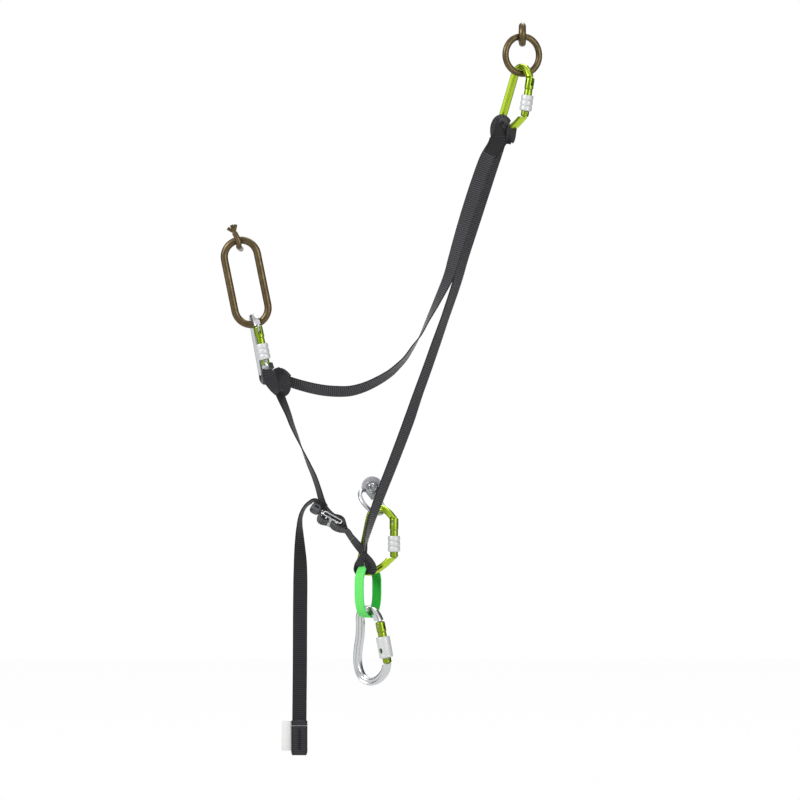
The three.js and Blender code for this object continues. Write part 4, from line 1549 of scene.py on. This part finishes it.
def fold(rows: tuple[Row, ...], wide: float = 15.0, shares: tuple[float, ...] = (1.0, 1.0)) -> Strap:
    """One visible stretch of webbing in a knot or an eye.

    Args:
        rows: Its route.
        wide: Its width in millimetres.
        shares: How much of its width it has on the way.

    Returns:
        The stretch, slightly thicker than the legs.
    """
    return Strap(rows, wide, shares, 2.3, 44)


LONG_LEG: tuple[Row, ...] = (
    (179.0, -33, 489, 14), (175.6, -31.5, 476.4, 16), (160.9, -32, 430.2, 22), (143.8, -33, 374.2, 35),
    (128.0, -35.5, 322.4, 44), (119.6, -37.5, 290.2, 52), (101.9, -40.5, 237.0, 57), (89.9, -43, 202.7, 52),
    (76.9, -45, 165.6, 50), (63.7, -47, 129.2, 48), (51.7, -49, 94.2, 42), (30.7, -51, 38.2, 45),
    (8.8, -53.5, -17.8, 49), (1.2, -53.5, -39.2, 56), (-5.6, -50.5, -62.8, 68), (-9.0, -47, -78.5, 80),
    (-10.2, -46, -88.5, 80),
)
SLACK_LEG: tuple[Row, ...] = (
    (177.0, -40.5, 491, 0), (170.0, -44, 476.4, 0), (160.9, -44, 461.0, 0), (148.3, -44, 427.4, 0),
    (135.0, -44, 386.8, -10), (122.4, -44.5, 346.2, -27), (114.2, -44, 318.2, -35),
    (107.7, -45, 296.4, -41),
    (92.0, -46, 262.2, -61), (77.4, -46.5, 232.8, -78), (67.8, -46.5, 212.8, -86), (58.2, -46, 197.8, -100),
    (46.1, -45.5, 179.8, -107), (37.5, -45, 170.8, -112), (25.1, -44, 159.7, -119),
    (6.3, -42.5, 148.1, -126),
    (-12.5, -41, 139.6, -131), (-31.2, -39.5, 134.8, -136), (-50.0, -38, 134.3, -139),
    (-68.7, -37, 135.9, -139), (-87.5, -36, 139.6, -138), (-105.8, -35, 144.6, -136),
    (-120.5, -34, 149.5, -134),
)
ADJUSTER_LEG: tuple[Row, ...] = (
    (-132.5, -33, 142, 50), (-127.4, -33, 126.6, 57), (-117.9, -33, 104.0, 68), (-112.0, -33, 87.2, 74),
    (-105.8, -33, 72.4, 80), (-98.0, -33, 53.9, 92), (-89.0, -33, 33.0, 104), (-81.3, -33.2, 15.8, 109),
    (-75.2, -34, -1.8, 111), (-71.0, -35, -16.8, 115), (-68.9, -35.8, -23.6, 118),
    (-65.9, -36.5, -28.6, 120),
)
TAIL: tuple[Row, ...] = (
    (-72.05, -37.9, -30.8, 72), (-72.8, -37.4, -27, 72), (-75.6, -38.6, -21.6, 70),
    (-81.0, -41.0, -18.4, 74),
    (-88.5, -42.8, -22.0, 78), (-94.4, -43.3, -28.0, 80), (-98.4, -43.8, -36.0, 78),
    (-100.4, -44.1, -43.6, 76),
    (-101.3, -44.4, -54.2, 70), (-101.0, -44.8, -80.8, 46), (-100.2, -45, -106.0, 25),
    (-100.2, -45, -135.0, 6),
    (-100.6, -45, -180.0, 0), (-100.9, -45, -250.0, 0), (-101.6, -45, -328.0, 0),
)
BUCKLE_TAB: tuple[Row, ...] = (
    (-36.7, -42.8, -60.0, 120), (-34.5, -42.9, -61.6, 120), (-29.6, -43.5, -68.8, 121),
    (-23.0, -44.4, -77.2, 130), (-16.8, -44.8, -84.6, 140), (-12.8, -44.8, -91.5, 146),
)
UPPER_KNOT_FOLDS: tuple[Strap, ...] = (
    fold(((172.0, -33, 487, 56), (170.8, -37, 496, 48), (171.6, -40, 505.5, 42), (175.6, -41, 513.6, 44),
          (181.5, -41, 516.6, 50), (187.0, -39, 514.0, 54), (191.6, -36, 508.5, 54)), 15),
    fold(((165.0, -43.4, 463, 0), (172.8, -47.5, 478, -4), (176.3, -50, 486, -8), (176.2, -49.5, 498, -10),
          (174.8, -45.5, 509, -16), (176.0, -41, 515, -30)), 24, (0.82, 0.95, 1.1, 0.54, 0.2, 0.2)),
    fold(((197.0, -31, 506, 34), (196.6, -41, 504.4, 26), (195.4, -46, 499, 16), (194.2, -47.5, 491.5, 8),
          (193.0, -46.5, 486, 4), (192.2, -42, 483.2, 2)), 13.5, (1.0, 1.0, 1.0, 1.0, 0.98, 0.86)),
    fold(((184.0, -40, 500, -20), (187.0, -45, 494, -28), (188.6, -46, 487, -30),
          (189.0, -41, 481, -30)), 11),
    fold(((174.0, -26, 508, 60), (173.0, -22, 500, 20), (178.0, -21, 491, 6), (187.0, -23, 487, 0),
          (193.0, -28, 491, -8), (194.5, -31, 501, -16)), 13),
)
LEFT_KNOT_FOLDS: tuple[Strap, ...] = (
    fold(((-138.5, -50, 171.0, 40), (-143.4, -57, 167, 24), (-144.2, -60, 159, 14),
          (-141.3, -58, 149.5, 10),
          (-136.0, -51, 140, 8), (-131.0, -43, 132.8, 6)), 18.5, (0.45, 0.86, 1.0, 1.0, 0.85, 0.66)),
    fold(((-134.0, -44, 166, 30), (-129.5, -48.5, 161, 20), (-125.0, -51.5, 154, 10),
          (-122.0, -52, 146.5, 4),
          (-121.0, -50, 139.5, 0), (-122.2, -44, 134, 0), (-125.5, -38, 131.0, 0)),
         17, (0.5, 0.86, 1.0, 0.98, 0.92, 0.76, 0.56)),
    fold(((-131.0, -42, 162.0, 66), (-127.0, -41, 163.0, 60), (-121.5, -39, 159.5, 56),
          (-116.0, -37, 153, 50)), 12),
    fold(((-146.0, -30, 160, 40), (-144.0, -22, 151, 20), (-134.0, -20, 141, 6), (-123.0, -25, 140, -4),
          (-118.0, -32, 147, -20)), 13),
)
EYE_FOLDS: tuple[Strap, ...] = (
    fold(((-9.0, -47, -78, 64), (-9.6, -49.2, -87, 30), (-12.0, -50.2, -94, 10), (-15.4, -50.5, -101.5, 8),
          (-18.4, -45.8, -108.5, 6), (-20.6, -41, -115, 4), (-21.6, -37, -119, 4)),
         12.5, (0.5, 0.5, 0.62, 0.9, 1.05, 0.9, 0.55)),
    fold(((-15.0, -45.5, -84.5, -30), (-12.6, -48, -88.5, -16), (-9.6, -48.5, -94, -10),
          (-5.6, -50.5, -101.5, -6),
          (-2.4, -52, -108.5, -4), (-0.4, -51.5, -115, 0), (-1.4, -49, -121, 0)),
         14, (0.55, 0.5, 0.56, 0.9, 1.1, 1.05, 0.6)),
)


def squared(share: float, power: float = 0.72) -> float:
    """A sine or cosine pushed out towards a square.

    Args:
        share: The sine or cosine.
        power: The exponent, under 1.

    Returns:
        The same sign with a larger size.
    """
    return math.copysign(abs(share) ** power, share)


def core(middle: Triple, halves: Triple) -> Skin:
    """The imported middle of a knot.

    Args:
        middle: Its middle.
        halves: Its half sizes.

    Returns:
        A rounded skin.
    """
    width, depth, height = halves
    rings = []
    for i in range(13):
        lift = math.pi * (i / 12 - 0.5)
        share = max(math.cos(lift), 0.02)
        centre = Vector(middle) + Vector((0, 0, height * math.sin(lift)))
        rings.append(oval(centre, Vector((width * share, 0, 0)), Vector((0, depth * share, 0)), 24))
    return Skin(rings)


def fabric(name: str, skins: Sequence[Skin], finish: Finish, *nodes: str,
           matrix: Matrix | None = None) -> bpy.types.Object:
    """A webbing piece that rides on the station.

    Args:
        name: Its name.
        skins: Its surfaces.
        finish: Its finish.
        nodes: What it stands for.
        matrix: Where the skins go, in millimetres.

    Returns:
        The piece.
    """
    return dressed(name, skins, finish, Body.STATION, Slot.WEBBING, *nodes, matrix=matrix)


@dataclass(frozen=True)
class Stitches:
    """A row of short thread stitches along a line, laid by Geometry Nodes."""

    name: str
    start: Triple
    end: Triple
    pitch: float
    length: float
    radius: float
    thread: Finish = DARK_THREAD

    def tree(self) -> bpy.types.NodeTree:
        """The node group that lays the stitches.

        Returns:
            The group, whose named inputs are its sizes.
        """
        tree = bpy.data.node_groups.new(self.name, "GeometryNodeTree")
        for way in ("INPUT", "OUTPUT"):
            tree.interface.new_socket("Geometry", in_out=way, socket_type="NodeSocketGeometry")
        for size in ("Pitch", "Length", "Radius"):
            tree.interface.new_socket(size, in_out="INPUT", socket_type="NodeSocketFloat")
        nodes = Nodes(tree)
        given = nodes.node("NodeGroupInput").outputs
        curve = nodes.node("GeometryNodeMeshToCurve", {}, {"Mesh": given["Geometry"]})
        points = nodes.node("GeometryNodeCurveToPoints", {"mode": "LENGTH"}, {
            "Curve": curve.outputs["Curve"], "Length": given["Pitch"]})
        stitch = nodes.node("GeometryNodeMeshCylinder", {}, {
            "Vertices": 8, "Depth": given["Length"], "Radius": given["Radius"]})
        laid = nodes.node("GeometryNodeInstanceOnPoints", {}, {
            "Points": points.outputs["Points"], "Rotation": points.outputs["Rotation"],
            "Instance": stitch.outputs["Mesh"]})
        real = nodes.node("GeometryNodeRealizeInstances", {}, {"Geometry": laid.outputs["Instances"]})
        painted = nodes.node("GeometryNodeSetMaterial", {}, {
            "Geometry": real.outputs["Geometry"], "Material": self.thread.paint()})
        nodes.node("NodeGroupOutput", {}, {"Geometry": painted.outputs["Geometry"]})
        return tree

    def make(self) -> None:
        """Lays the stitches, turns them into plain mesh and hands them over."""
        mesh = bpy.data.meshes.new(self.name)
        mesh.from_pydata([Vector(p) * MM for p in (self.start, self.end)], [(0, 1)], [])
        piece = add(self.name, mesh, self.thread)
        step = piece.modifiers.new("lay", "NODES")
        step.node_group = self.tree()
        sizes = {"Pitch": self.pitch * MM, "Length": self.length * MM, "Radius": self.radius * MM}
        for socket in step.node_group.interface.items_tree:
            if socket.name in sizes:
                step[socket.identifier] = sizes[socket.name]
        applied(piece)
        smooth(piece.data, angle=60)
        handed(piece, Body.STATION, Slot.WEBBING)


@dataclass(frozen=True)
class Sling:
    """Every stretch of webbing, the knots, the tail's hem and its blank label."""

    left_carabiner: Carabiner
    wound_first: float = 0.62
    wound_last: float = 0.93
    wound_thick: float = 1.0
    wound_steps: int = 40
    wound_sides: int = 32
    tab_stitch_at: float = 0.48
    tab_stitch_half: float = 6.0
    tab_stitch_lift: float = 1.15
    hem_middle: float = -101.7
    hem_depth: float = -45.0
    hem_front: float = -47.9
    hem_heights: tuple[float, ...] = (-325.8, -340.0, -358.0, -374.1)
    hem_shares: tuple[float, ...] = (1.0,) * 15 + (0.97, 0.86)
    hem_wide: float = 23.0
    hem_thick: float = 5.2

    def make(self) -> None:
        self.leg("long_leg", Strap(LONG_LEG, steps=200), Lay.TAUT, FarEnd.OBJECT, LIT_WEBBING)
        self.leg("slack_leg", Strap(SLACK_LEG, steps=200), Lay.HANGING, FarEnd.OBJECT, LIT_WEBBING)
        self.leg("adjuster_leg", Strap(ADJUSTER_LEG, steps=90), Lay.TAUT, FarEnd.OBJECT, SHADED_WEBBING)
        ends = self.tail_end()
        self.leg("tail", Strap(TAIL), Lay.HANGING, FarEnd.FITTING, SHADED_WEBBING)
        self.buckle_tab()
        upper = [stretch.skin() for stretch in UPPER_KNOT_FOLDS]
        packed = core(middle=(181.2, -35.5, 501), halves=(10.4, 10.5, 13.5))
        fabric("upper_knot_straps", [packed, upper[0], upper[4]], WEBBING, "upper_knot")
        fabric("upper_knot_band", [upper[1]], SHADED_WEBBING)
        fabric("upper_knot_lobe", [upper[2]], SMOOTH_WEBBING)
        # The crease is painted shade: a fold of the knot given the near-black thread finish.
        fabric("upper_knot_crease_shade", [upper[3]], DARK_THREAD)
        left = [stretch.skin() for stretch in LEFT_KNOT_FOLDS]
        packed = core(middle=(-132.6, -37, 152), halves=(10.4, 12, 15.5))
        fabric("left_knot_straps", [packed, left[0], *left[2:]], WEBBING, "left_knot")
        fabric("left_knot_lobe", [left[1]], SMOOTH_WEBBING)
        fabric("left_rod_wrap", [self.wound()], SHADED_WEBBING)

    def leg(self, name: str, strap: Strap, lay: Lay, far_end: FarEnd, finish: Finish) -> None:
        """One stretch of webbing.

        Args:
            name: Its name.
            strap: Its strap.
            lay: How it lies. Not used.
            far_end: What its far end is. Not used.
            finish: Its finish.
        """
        made = fabric(name, [strap.skin()], finish, f"webbing_{name}")
        path = strap.path()
        tuple(path[0])
        strap.length()
        [tuple(p) for p in path]

    def buckle_tab(self) -> None:
        """The tab from the eye to the buckle, with its bar of stitches."""
        tab = Strap(BUCKLE_TAB, 16, (1.0, 1.0, 1.0, 0.95, 0.7), steps=30)
        fabric("buckle_tab", [tab.skin()], WEBBING, "webbing_buckle_tab")
        centre, across, face = tab.frame_at(tab.curve(), self.tab_stitch_at)
        lift = centre - face * math.copysign(self.tab_stitch_lift, face.y)
        start, end = (tuple(lift + across * a) for a in (-self.tab_stitch_half, self.tab_stitch_half))
        Stitches("tab_bar", start, end, pitch=1.3, length=1.0, radius=0.35, thread=PALE_THREAD).make()

    def wound(self) -> Skin:
        """Webbing wound round the left carabiner's rod.

        Returns:
            The skin.
        """
        rod, sides = self.left_carabiner, self.wound_sides
        path, place = rod.path(), rod.place.matrix()
        half, deep = rod.sizes.rod_half + self.wound_thick, rod.sizes.rod_deep + self.wound_thick
        rings = []
        for s in (i / self.wound_steps for i in range(self.wound_steps + 1)):
            t = self.wound_first + (self.wound_last - self.wound_first) * s
            along = tangent(path, t)
            out = Vector((-along.z, 0, along.x))
            swell = 1 - 0.16 * abs(2 * s - 1) ** 6 + 0.03 * math.sin(9 * s)
            loop = oval(path(t), out * half * swell, Vector((0, deep * swell, 0)), sides)
            rings.append([place @ p for p in loop])
        return Skin(rings, [0.6 * half * math.sin(2 * math.pi * j / sides) for j in range(sides)])

    def tail_end(self) -> tuple[bpy.types.Object, bpy.types.Object]:
        """The folded hem and the blank label.

        Returns:
            Both pieces.
        """
        middle, front = self.hem_middle, self.hem_front
        rows = tuple((middle, self.hem_depth, z, 0.0) for z in self.hem_heights)
        doubled = Strap(rows, self.hem_wide, self.hem_shares, self.hem_thick, 48)
        hem = fabric("folded_hem", [doubled.skin()], WEBBING, "tail_hem")
        left, right = (-112.0, front, -332.8), (-91.4, front, -332.8)
        Stitches("hem_row", left, right, pitch=2.2, length=1.7, radius=0.6, thread=PALE_THREAD).make()
        top, foot = (middle, front, -338.0), (middle, front, -365.0)
        Stitches("hem_middle", top, foot, pitch=1.6, length=1.7, radius=0.9).make()
        label = copied("tail_label", "bare_label", 0.15, LABEL)
        return hem, handed(label, Body.STATION, Slot.LABEL, "tail_label")


# Buckle and station


@dataclass(frozen=True)
class Band:
    """Webbing that lies across the buckle, on a route along and up the buckle's axes."""

    profile: tuple[Pair, ...]
    shares: tuple[float, ...] = (1.0, 1.0)
    wide: float = 20.0
    thick: float = 1.9
    steps: int = 48

    def skin(self) -> Skin:
        """Its surface.

        Returns:
            The skin.
        """
        place = spread([Vector((a, 0, b)) for a, b in self.profile])
        corners, over = strap_section(self.wide, self.thick)
        rings = []
        for t in even(place, self.steps):
            face = tangent(place, t).cross(Vector((0, 1, 0)))
            share = between(self.shares, t)
            rings.append([place(t) + Vector((0, a * share, 0)) + face * b for a, b in corners])
        return Skin(rings, over)


OVER_BAND = Band(
    ((-16.5, 13.2), (-10, 10.2), (-4, 8.0), (1, 7.4), (5, 8.8), (10, 9.8), (14.5, 8.8), (18.5, 5.4),
     (22.5, 1.6), (26, -1.2)),
    (1.0, 1.0, 1.0, 0.95, 0.6),
)
UNDER_BAND = Band(
    ((2.2, 2.4), (2.6, -1.5), (6, -4.4), (12, -5.2), (18, -4.4), (22.5, -3.0), (26, -1.8)),
    (1.0, 1.0, 1.0, 0.85, 0.6),
)
LEFT_BAND = Band(
    ((-1.9, -4.4), (-5.5, -5.9), (-11, -7.2), (-15.8, -5.4), (-18, -1.0), (-18.8, 3.6), (-20, 8.2)),
    (0.96, 1.0, 1.0),
)
INNER_BANDS = (
    Band(((-12.6, -2.8), (-10.7, -0.4), (-9.0, 2.0)), wide=19.6),
    Band(((16.6, -1.4), (13.4, 1.8), (10.0, 4.4)), wide=19.6),
)


@dataclass(frozen=True)
class Buckle:
    """Two oval rails, their bars, the webbing round them and the pull tab, in the buckle's own axes."""

    middle: Triple = (-57.9, -42.0, -46.7)
    rail_reach: float = 14.3
    rail_rise: float = 2.8
    rail_wire: float = 0.95
    rail_out: float = 11.2
    rail_steps: int = 12
    end_inset: float = 1.0
    cross_radius: float = 1.2
    cross_place: Pair = (0.2, -3.2)
    grip_middle: Triple = (-26.6, -5.5, 1.8)
    grip_reach: float = 7.2
    grip_rise: float = 6.0
    grip_dome: float = 4.0
    grip_straight: float = 3.5
    grip_steps: int = 24
    grip_slot: tuple[Triple, Triple] = ((-29.6, -20, 0.4), (-23.0, -8.6, 3.8))
    grip_wire: float = 0.8
    grip_wire_places: Pair = (-9.6, -2.4)

    def matrix(self) -> Matrix:
        """The buckle's axes: along, across and up."""
        axes = Matrix(((0.8746, -0.24, 0.42), (0.0, 0.866, 0.50), (-0.4848, -0.44, 0.758))).to_4x4()
        return Matrix.Translation(self.middle) @ axes

    def rail(self, across: float) -> Skin:
        """One oval rail.

        Args:
            across: Its place across the buckle.

        Returns:
            The skin.
        """
        reach, rise = self.rail_reach - self.rail_rise, self.rail_rise
        points = []
        for start, side in ((-math.pi / 2, 1), (math.pi / 2, -1)):
            for a in (start + math.pi * i / self.rail_steps for i in range(self.rail_steps + 1)):
                points.append(Vector((side * reach + rise * math.cos(a), across, rise * math.sin(a))))
        return wire(points, self.rail_wire, sides=16)

    def make(self) -> None:
        """Builds and dresses the pieces."""
        matrix, out, reach = self.matrix(), self.rail_out, self.rail_reach - self.end_inset
        cross = cross_bar(self.cross_radius, out, *self.cross_place, sides=20)
        rails = [self.rail(-out), self.rail(out), cross]
        dressed("oval_frame", rails, RAIL, Body.STATION, Slot.STEEL, "buckle_frame", matrix=matrix)
        # The end bars and the locking bar get the darker steel, painted shade.
        ends = [cross_bar(self.rail_wire, out, x=along, z=0, sides=20) for along in (-reach, reach)]
        dressed("end_bars", ends, PAINTED_SHADE_STEEL, Body.STATION, Slot.STEEL, matrix=matrix)
        lock = copied("buckle_locking_bar", "locking_bar", 0.2, PAINTED_SHADE_STEEL)
        handed(lock, Body.LOCK_BAR, Slot.STEEL, "buckle_locking_bar")
        for name, bands, finish, nodes in (
            ("bar_wrap", (LEFT_BAND, OVER_BAND), WEBBING, ("webbing_wrap",)),
            ("inner_turns", INNER_BANDS, SHADED_WEBBING, ()),
            ("tab_loop", (UNDER_BAND,), WEBBING, ("webbing_tab_loop",)),
        ):
            fabric(name, [band.skin() for band in bands], finish, *nodes, matrix=matrix)
        self.pull_tab()

    def pull_tab(self) -> None:
        """The short moulded grip with its slot, on two wires from the frame's end."""
        matrix = self.matrix()
        along, across, up = self.grip_middle
        rings = []
        for i in range(self.grip_steps + 1):
            lift = math.pi * (i / self.grip_steps - 0.5)
            straight = math.copysign(self.grip_straight, lift) * min(1.0, abs(lift) * 3)
            y = across + self.grip_dome * math.sin(lift) + straight
            size = max(math.cos(lift), 0.02) ** 0.4
            reach, rise = self.grip_reach * size, self.grip_rise * size
            rings.append([
                Vector((along + reach * squared(math.cos(a)), y, up + rise * squared(math.sin(a))))
                for a in (2 * math.pi * j / 32 for j in range(32))
            ])
        grip = add("pull_tab", mesh_of("pull_tab", [Skin(rings)], matrix), GRIP)
        worked(grip, (block(*self.grip_slot),), matrix=matrix)
        end = -self.rail_reach + 1.5
        wires = [bar(self.grip_wire, Vector((-23.5, v, 1.6)), Vector((end, v, 0.4)), 12)
                 for v in self.grip_wire_places]
        worked(grip, wires, Join.WELD, matrix)
        bevelled(grip, 0.3)
        smooth(grip.data, angle=50)
        handed(grip, Body.STATION, Slot.GRIP, "buckle_pull_tab")


@dataclass(frozen=True)
class Station:
    """The tape ring and the sewn eye that it passes through."""

    ring_middle: Triple = (-5.65, -35.35, -144.5)
    ring_yaw: float = -60.0
    ring_half_width: float = 26.0
    ring_half_height: float = 38.0
    ring_bend: float = 26.0
    lower_power: float = 2.45
    upper_steps: int = 40
    lower_steps: int = 56
    tape_wide: float = 14.0
    tape_thick: float = 3.2
    waist_room: tuple[Triple, Triple] = ((-40, -80, -100), (30, 0, -60))

    def make(self) -> None:
        """Builds and dresses the pieces."""
        self.tape_ring()
        loop = copied("station_eye", "eye_loop", 0.4, WEBBING)
        worked(loop, (block(*self.waist_room),))
        smooth(loop.data, angle=40)
        handed(loop, Body.STATION, Slot.WEBBING)
        packed = core(middle=(-10.9, -45.5, -90), halves=(4.3, 4.2, 10))
        waist = [stretch.skin() for stretch in EYE_FOLDS] + [packed]
        fabric("sewn_eye", waist, WEBBING, "station_eye")
        left, right = (-14.4, -51.6, -90.5), (-7.6, -51.6, -90.5)
        Stitches("eye_bar", left, right, pitch=1.5, length=1.1, radius=0.25).make()

    def route(self) -> list[Pair]:
        """The tape's route: a half circle above, a squarer bend drawn in towards the foot.

        Returns:
            Its points, across and up from the ring's middle.
        """
        inset = self.tape_thick / 2
        half, low, bend = self.ring_half_width - inset, self.ring_half_height - inset, self.ring_bend - inset
        lift, power = self.ring_half_height - self.ring_bend, 2 / self.lower_power
        points = []
        for a in (math.pi * i / self.upper_steps for i in range(self.upper_steps + 1)):
            points.append((half * math.cos(a), lift + bend * math.sin(a)))
        for a in (math.pi * (1 + i / self.lower_steps) for i in range(self.lower_steps + 1)):
            points.append((half * squared(math.cos(a), power), -low * abs(math.sin(a)) ** power))
        return points

    def tape_ring(self) -> None:
        """Sweeps the tape round its oval, with painted shade on its inner faces, which get a darker copy of
        the tape's material.
        """
        path = self.route()
        corners, over = strap_section(self.tape_wide, self.tape_thick)
        rings = []
        for i, (x, z) in enumerate(path):
            before, after = path[i - 1], path[(i + 1) % len(path)]
            along = Vector((after[0] - before[0], 0, after[1] - before[1])).normalized()
            out = Vector((along.z, 0, -along.x))
            rings.append([Vector((x, a, z)) + out * b for a, b in corners])
        matrix = Place(self.ring_middle, 0, self.ring_yaw).matrix()
        mesh = mesh_of("tape_ring", [Skin(rings, over, closed=True)], matrix)
        ring = add("tape_ring", mesh, TAPE, TAPE_PAINTED_SHADE)
        middle = Vector(self.ring_middle) * MM
        # Faces that point in towards the ring's middle get the darker copy, painted shade.
        for polygon in mesh.polygons:
            polygon.material_index = int(polygon.normal.dot(polygon.center - middle) < 0)
        smooth(mesh, angle=50)
        handed(ring, Body.TAPE_RING, Slot.TAPE, "station_ring")


# Stage


@dataclass(frozen=True)
class Pale(Finish):
    """A floor that the camera sees nearly white, with the object's shadow on it."""

    grey: float
    share: float

    def material(self) -> bpy.types.Material:
        """Builds the finish.

        Returns:
            The material.
        """
        shader = Shader(self.name)
        rays = shader.node("ShaderNodeLightPath").outputs
        straight, shiny = (Value(shader, rays[f"Is {kind} Ray"]) for kind in ("Camera", "Glossy"))
        dull = shader.node("ShaderNodeBsdfDiffuse", {}, {"Color": (self.grey, self.grey, self.grey, 1)})
        mixed = shader.node("ShaderNodeMixShader", {}, {
            0: (straight + shiny) * self.share, 1: dull.outputs[0], 2: shader.glow()})
        return shader.closed(mixed.outputs[0])


@dataclass(frozen=True)
class Glow(Finish):
    """A card's own light."""

    level: float

    def material(self) -> bpy.types.Material:
        """Builds the finish.

        Returns:
            The material.
        """
        shader = Shader(self.name)
        return shader.closed(shader.glow(self.level))


@dataclass(frozen=True)
class Stage:
    """Camera, soft studio light, the pale floor and backdrop."""

    frame_width: float = 1.12
    distance: float = 8.0
    sensor: float = 36.0
    centre: Triple = (0.03906, -0.03, 0.1222)
    floor_height: float = -420.0
    floor_half: float = 4000.0
    floor_thick: float = 10.0

    def make(self) -> None:
        """Builds the camera, lamps, cards, floor and world."""
        self.camera()
        self.lamp("key_lamp", (-3.3, -2.2, 2.5), (1.2, 1.6), 145)
        self.lamp("fill_lamp", (2.6, -3.4, 0.9), (0.9, 2.0), 66)
        self.lamp("rim_lamp", (0.6, 1.6, 2.6), (1.8, 0.8), 40)
        self.card("front_card", (0.04, -9.5, 0.1), (17.0, 12.0), 0.42)
        self.card("left_card", (-2.4, 1.7, 0.1), (4.0, 7.0), 0.1)
        self.card("right_card", (2.4, 1.7, 0.1), (4.2, 7.0), 0.06)
        half, top = self.floor_half, self.floor_height
        slab = block((-half, -half, top - self.floor_thick), (half, half, top))
        add("floor", mesh_of("floor", [slab]), Pale("pale_floor", 0.86, 0.975))
        self.world()
        bpy.context.scene.view_settings.view_transform = "Standard"

    def camera(self) -> None:
        """A long lens straight at the wall."""
        data = bpy.data.cameras.new("photo_camera")
        data.sensor_width = self.sensor
        data.sensor_fit = "HORIZONTAL"
        data.lens = self.sensor * self.distance / self.frame_width
        data.clip_end = 100
        camera = bpy.data.objects.new("photo_camera", data)
        x, y, z = self.centre
        camera.location = (x, y - self.distance, z)
        camera.rotation_euler = (math.pi / 2, 0, 0)
        bpy.context.scene.collection.objects.link(camera)
        bpy.context.scene.camera = camera

    def lamp(self, name: str, place: Triple, size: Pair, power: float) -> None:
        """One soft lamp that looks at the object.

        Args:
            name: Its name.
            place: Where it stands, in metres.
            size: Its width and height.
            power: Its power in watts.
        """
        data = bpy.data.lights.new(name, "AREA")
        data.shape = "RECTANGLE"
        data.size, data.size_y = size
        data.energy = power
        lamp = bpy.data.objects.new(name, data)
        lamp.location = place
        aim = Vector(self.centre) - Vector(place)
        lamp.rotation_euler = aim.to_track_quat("-Z", "Y").to_euler()
        bpy.context.scene.collection.objects.link(lamp)

    def card(self, name: str, place: Triple, size: Pair, level: float) -> None:
        """A studio card that only gloss sees, which gives the metal its darker bands.

        Args:
            name: Its name.
            place: Where it stands, in metres.
            size: Its width and height.
            level: How bright it is.
        """
        centre = Vector(place)
        aim = (Vector(self.centre) - centre).normalized()
        side = aim.cross(Vector((0, 0, 1))).normalized()
        wide, tall = side * size[0] / 2, side.cross(aim) * size[1] / 2
        corners = [centre + wide * a + tall * b for a, b in ((-1, -1), (1, -1), (1, 1), (-1, 1))]
        mesh = bpy.data.meshes.new(name)
        mesh.from_pydata(corners, [], [(0, 1, 2, 3)])
        piece = add(name, mesh, Glow(name, level))
        for kind in ("camera", "diffuse", "shadow", "transmission", "volume_scatter"):
            setattr(piece, f"visible_{kind}", False)

    def world(self) -> None:
        """White for the camera and gloss, and a weaker white as light."""
        world = bpy.data.worlds.new("studio")
        bpy.context.scene.world = world
        world.use_nodes = True
        nodes = Nodes(world.node_tree)
        rays = nodes.node("ShaderNodeLightPath").outputs
        straight, through, shiny = (
            Value(nodes, rays[f"Is {kind} Ray"]) for kind in ("Camera", "Transmission", "Glossy"))
        seen = straight.largest(through).largest(shiny)
        strength = nodes.value("ShaderNodeMapRange", {}, {"Value": seen, "To Min": 0.3, "To Max": 1.0})
        back = nodes.node("ShaderNodeBackground", {}, {"Color": (1, 1, 1, 1), "Strength": strength})
        nodes.node("ShaderNodeOutputWorld", {}, {"Surface": back.outputs[0]})


# All together


def main() -> None:
    """Builds the scene in order."""
    logging.basicConfig(level=logging.INFO, format="%(name)s %(message)s")
    FRAME.update(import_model())
    Stage().make()
    Carabiner("upper", D_SIZES, Place((216.81, -59.57, 544.725), 8.7, 53)).make()
    left = Place((-153.48, -63.666, 198.225), -12.3, 80)
    left_carabiner = Carabiner("left", D_SIZES, left, slot=Slot.SILVER, finish=SILVER)
    left_carabiner.make()
    Sling(left_carabiner).make()
    Carabiner("centre", D_SIZES, Place((30.706, -43.319, -70.296), 0, 20)).make()
    belay = Place((16.333, -46.035, -216.596), -10.5, 39)
    Carabiner("belay", PEAR_SIZES, belay, Body.BELAY, Slot.SILVER, SILVER, Lock.TWIST).make()
    UpperAnchor().make()
    LeftAnchor().make()
    CentreAnchor().make()
    Buckle().make()
    Station().make()


if __name__ == "__main__":
    main()
